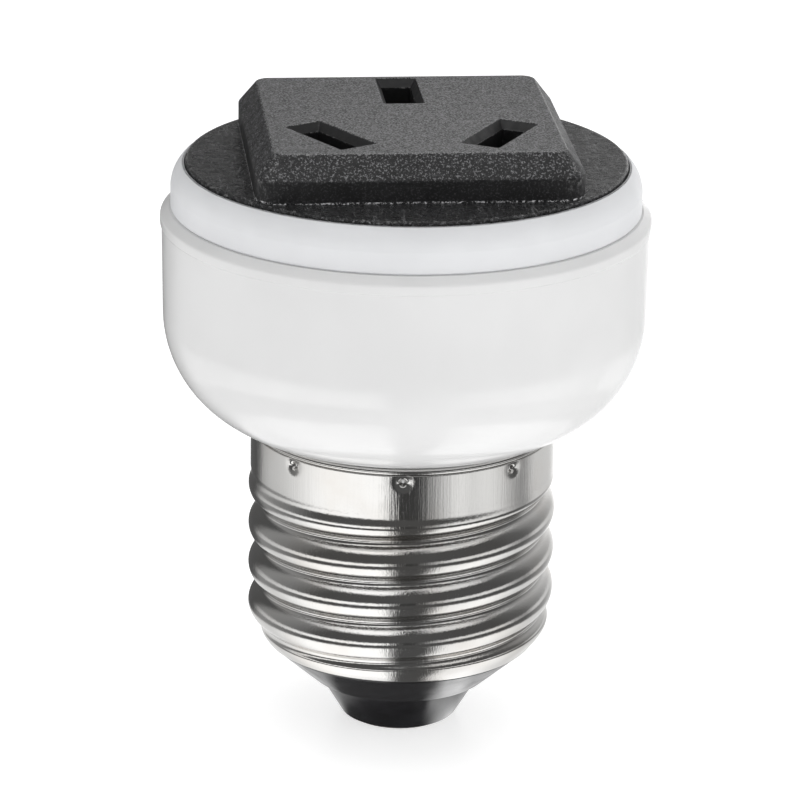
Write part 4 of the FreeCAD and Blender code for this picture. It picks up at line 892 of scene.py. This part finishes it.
class MakeStage(bpy.types.Operator):
    """The pale floor, the soft studio lights and the camera"""
    bl_idname = "adapter.make_stage"
    bl_label = "Stage"

    # Name, place, width and height in metres, power in watts, and the height that it faces
    lamps = (
        ("right_softbox", (0.60, -0.36, 0.34), 0.42, 0.6, 0.6, 0.03),
        ("top_softbox", (0.0, 0.12, 0.80), 0.7, 0.7, 0.6, 0.0),
    )
    # Glow of the light tent round the object: degrees from the front, counted to the right, and strength
    tent = (
        (-180, 1.4), (-168, 1.2), (-156, 0.12), (-127, 0.1), (-118, 0.55), (-110, 0.7), (-95, 0.8),
        (-83, 0.94), (-72, 1.14), (-62, 1.36), (-50, 1.5), (-14, 1.5), (-9, 1.38), (-5, 0.06), (12, 0.06),
        (16, 0.2), (24, 0.6), (31, 0.87), (40, 1.2), (47, 0.95), (58, 1.1), (70, 0.97), (84, 0.5), (95, 0.33),
        (106, 0.85), (126, 0.8), (140, 0.8), (155, 1.3), (180, 1.4),
    )

    def add_floor(self):
        """A level floor that curves up all round: z = rise x the square of ease((distance - edge) / run)."""
        rise, edge, run = 1.9, 1.3, 2.1
        rings = np.concatenate([[0.02], np.linspace(0.05, 1.2, 24), np.linspace(1.25, 3.4, 40)])
        height = rise * ease((rings - edge) / run) ** 2
        skin = Skin()
        numbers = skin.rows(turned(np.stack([rings, height], -1) / MM, 96))
        skin.cap(numbers[0], flip=True)
        material, tree, shader = new_finish("opal_acrylic_light_table")
        shade = marks(tree, [60.0], 0.3, 0.7)
        feed(tree, shader, {
            "Base Color": add_node(tree, [shade, linear("#F4F4F4"), linear("#F1F1F1")], **BLEND),
            "Roughness": 0.3,
            "Specular IOR Level": 0.15,
            "Emission Color": (1.0, 1.0, 1.0),
            "Emission Strength": 0.58,
        })
        floor = skin.item("studio_floor", material)
        floor.visible_glossy = False

    def add_tent(self, settings):
        """A light tent seen only in shines: softboxes at both sides and above, with dark gaps between them.

        Its glow follows the numbers above round the object. It eases to the top softbox's from 62 to 80
        degrees up, and to about a sixth behind the object, from 8 to 26 degrees up. A dark card stands before
        the object and a dark ring lies round it. The table close to it and under it has its own glow.
        """
        line = np.array([
            (3, -5), (6, -5), (8, -5), (10, -5), (13, -5), (22, -5), (33, -4.5), (35, -3.8), (37, -3),
            (39, -1.8), (41, -0.6), (43, 0.4), (46, 1.4), (51, 3.5), (52.5, 4.3), (54, 5.2), (60, 9),
            (64, 12), (68, 15), (75, 20), (85, 28), (95, 36), (130, 62), (180, 100), (240, 150), (300, 210),
            (350, 280), (370, 320), (390, 370), (405, 420), (410, 470), (400, 570), (360, 660), (300, 740),
            (210, 800), (110, 830), (5, 840),
        ], float)
        skin = Skin()
        numbers = skin.rows(turned(line, 360))
        skin.cap(numbers[0], flip=True)
        skin.cap(numbers[-1])
        x, y, z = np.concatenate(skin.points).T
        away = np.hypot(x, y)
        # Degrees round from the front, and degrees up as seen from the bowl's middle, 35 mm up
        turn = (np.degrees(np.arctan2(x, -y) - settings.azimuth) + 180) % 360 - 180
        rise = np.degrees(np.arctan2(z - 35, away))
        glow = np.interp(turn, *np.array(self.tent, float).T)
        overhead, dark = np.where(np.abs(turn - 4) < 18, 0.3, 0.75), 0.1
        glow += (overhead - glow) * ease((rise - 62) / 18)
        behind = ease((np.abs(turn) - 140) / 25)
        strip = ease((rise - 2) / 6) * ease((34 - rise) / 8)
        glow *= 1 - (0.83 - 0.1 * np.clip(x / 16, -1, 1)) * behind * strip
        # The dark card before the object, from 12 mm to 47 degrees up, and the dark ring, 36 to 53 mm out
        front = np.interp(turn, (-150, -118, -62, 75, 115, 145), (0, 0.55, 1, 1, 0.65, 0))
        card = ease((z - 11.5) / 3) * ease((47 - rise) / 6)
        ring = ease((away - 36) / 4) * ease((53.5 - away) / 2) * (z < 6)
        glow += (dark - glow) * front * np.maximum(card, ring)
        # The table close to the object, and the table under it, which is bright on the right
        near = np.interp(
            turn, (-100, -60, -10, -3, 20, 30, 60, 100), (0.9, 1.6, 1.6, 0.1, 0.1, 1.3, 1.5, 0.9)
        )
        glow += (near - glow) * ease((39 - away) / 4) * (z < 2)
        under = dark + 1.9 * ease((x - 4.5) / 1.5)
        glow += (under - glow) * ease((10.5 - away) / 2) * (z < 0)
        material, tree, shine = new_finish("light_tent_cloth", "ShaderNodeEmission")
        strength = add_node(tree, {}, "ShaderNodeAttribute", attribute_name="glow").outputs["Fac"]
        feed(tree, shine, {"Strength": strength})
        material.cycles.emission_sampling = "NONE"
        tent = skin.item("light_tent", material, glow=glow)
        tent.visible_camera = tent.visible_diffuse = tent.visible_shadow = tent.visible_transmission = False

    def add_lamps(self):
        """Rectangular soft lights, each turned to face the object."""
        for name, place, width, height, power, aim in self.lamps:
            lamp = bpy.data.lights.new(name, "AREA")
            lamp.shape, lamp.size, lamp.size_y, lamp.energy = "RECTANGLE", width, height, power
            item = linked(name, lamp)
            item.location = place
            item.rotation_euler = (Vector((0, 0, aim)) - Vector(place)).to_track_quat("-Z", "Y").to_euler()
            item.visible_glossy = False

    def add_camera(self, settings):
        """The camera that a fit to the photograph gave: a turn round the axis, a tilt and a small roll."""
        a, e, roll = settings.azimuth, settings.elevation, settings.roll
        back = Vector((math.sin(a) * math.cos(e), -math.cos(a) * math.cos(e), math.sin(e)))
        right = Vector((math.cos(a), math.sin(a), 0))
        up = back.cross(right)
        aim = right * settings.aim_side + up * settings.aim_up + Vector((0, 0, settings.aim_height))
        rolled_right = right * math.cos(roll) + up * math.sin(roll)
        rolled_up = up * math.cos(roll) - right * math.sin(roll)
        data = bpy.data.cameras.new("camera")
        data.lens, data.sensor_width = settings.lens, 36.0
        data.clip_start, data.clip_end = 0.01, 20.0
        camera = linked("camera", data)
        turn = Matrix((rolled_right, rolled_up, back)).transposed().to_4x4()
        camera.matrix_world = Matrix.Translation(aim + back * settings.distance) @ turn
        bpy.context.scene.camera = camera

    def execute(self, context):
        scene = context.scene
        scene.view_settings.view_transform = "Standard"
        scene.view_settings.look = "None"
        world = bpy.data.worlds.new("studio")
        world.use_nodes = True
        tree = world.node_tree
        tree.nodes.clear()
        # Soft light all round, strongest at and under the horizon and weakest overhead
        direction = add_node(tree, {}, "ShaderNodeTexCoord").outputs["Generated"]
        height = add_node(tree, [direction], "ShaderNodeSeparateXYZ").outputs["Z"]
        strength = add_node(tree, [height, -0.2, 1.0, 1.055, 0.385], **STEP)
        sky = add_node(tree, {"Strength": strength}, "ShaderNodeBackground")
        add_node(tree, {"Surface": sky}, "ShaderNodeOutputWorld")
        scene.world = world
        self.add_floor()
        self.add_tent(scene.adapter_stage)
        self.add_lamps()
        self.add_camera(scene.adapter_stage)
        return {"FINISHED"}


class AdapterPanel(bpy.types.Panel):
    """Lists the adapter's pieces"""
    bl_idname = "VIEW3D_PT_adapter"
    bl_label = "Adapter"
    bl_space_type = "VIEW_3D"
    bl_region_type = "UI"
    bl_category = "Adapter"

    def draw(self, context):
        for step in STEPS:
            self.layout.operator(step.bl_idname)


GROUPS = {
    "adapter_bowl": BowlSizes,
    "adapter_collar": CollarSizes,
    "adapter_socket": SocketSizes,
    "adapter_cap": CapSizes,
    "adapter_finishes": Finishes,
    "adapter_stage": StageSettings,
}
STEPS = (MakeBowl, MakeCollar, MakeSocket, MakeShell, MakeInsulator, DressInside, MakeStage)


def register():
    """Registers the classes and puts the property groups on the scene."""
    for item in (*GROUPS.values(), *STEPS, AdapterPanel):
        bpy.utils.register_class(item)
    for name, group in GROUPS.items():
        setattr(bpy.types.Scene, name, bpy.props.PointerProperty(type=group))


def unregister():
    """Takes the property groups off the scene and unregisters the classes."""
    for name in GROUPS:
        delattr(bpy.types.Scene, name)
    for item in reversed((*GROUPS.values(), *STEPS, AdapterPanel)):
        bpy.utils.unregister_class(item)


def main():
    """Builds everything in order."""
    register()
    for step in STEPS:
        group, name = step.bl_idname.split(".")
        getattr(getattr(bpy.ops, group), name)()


if __name__ == "__main__":
    main()
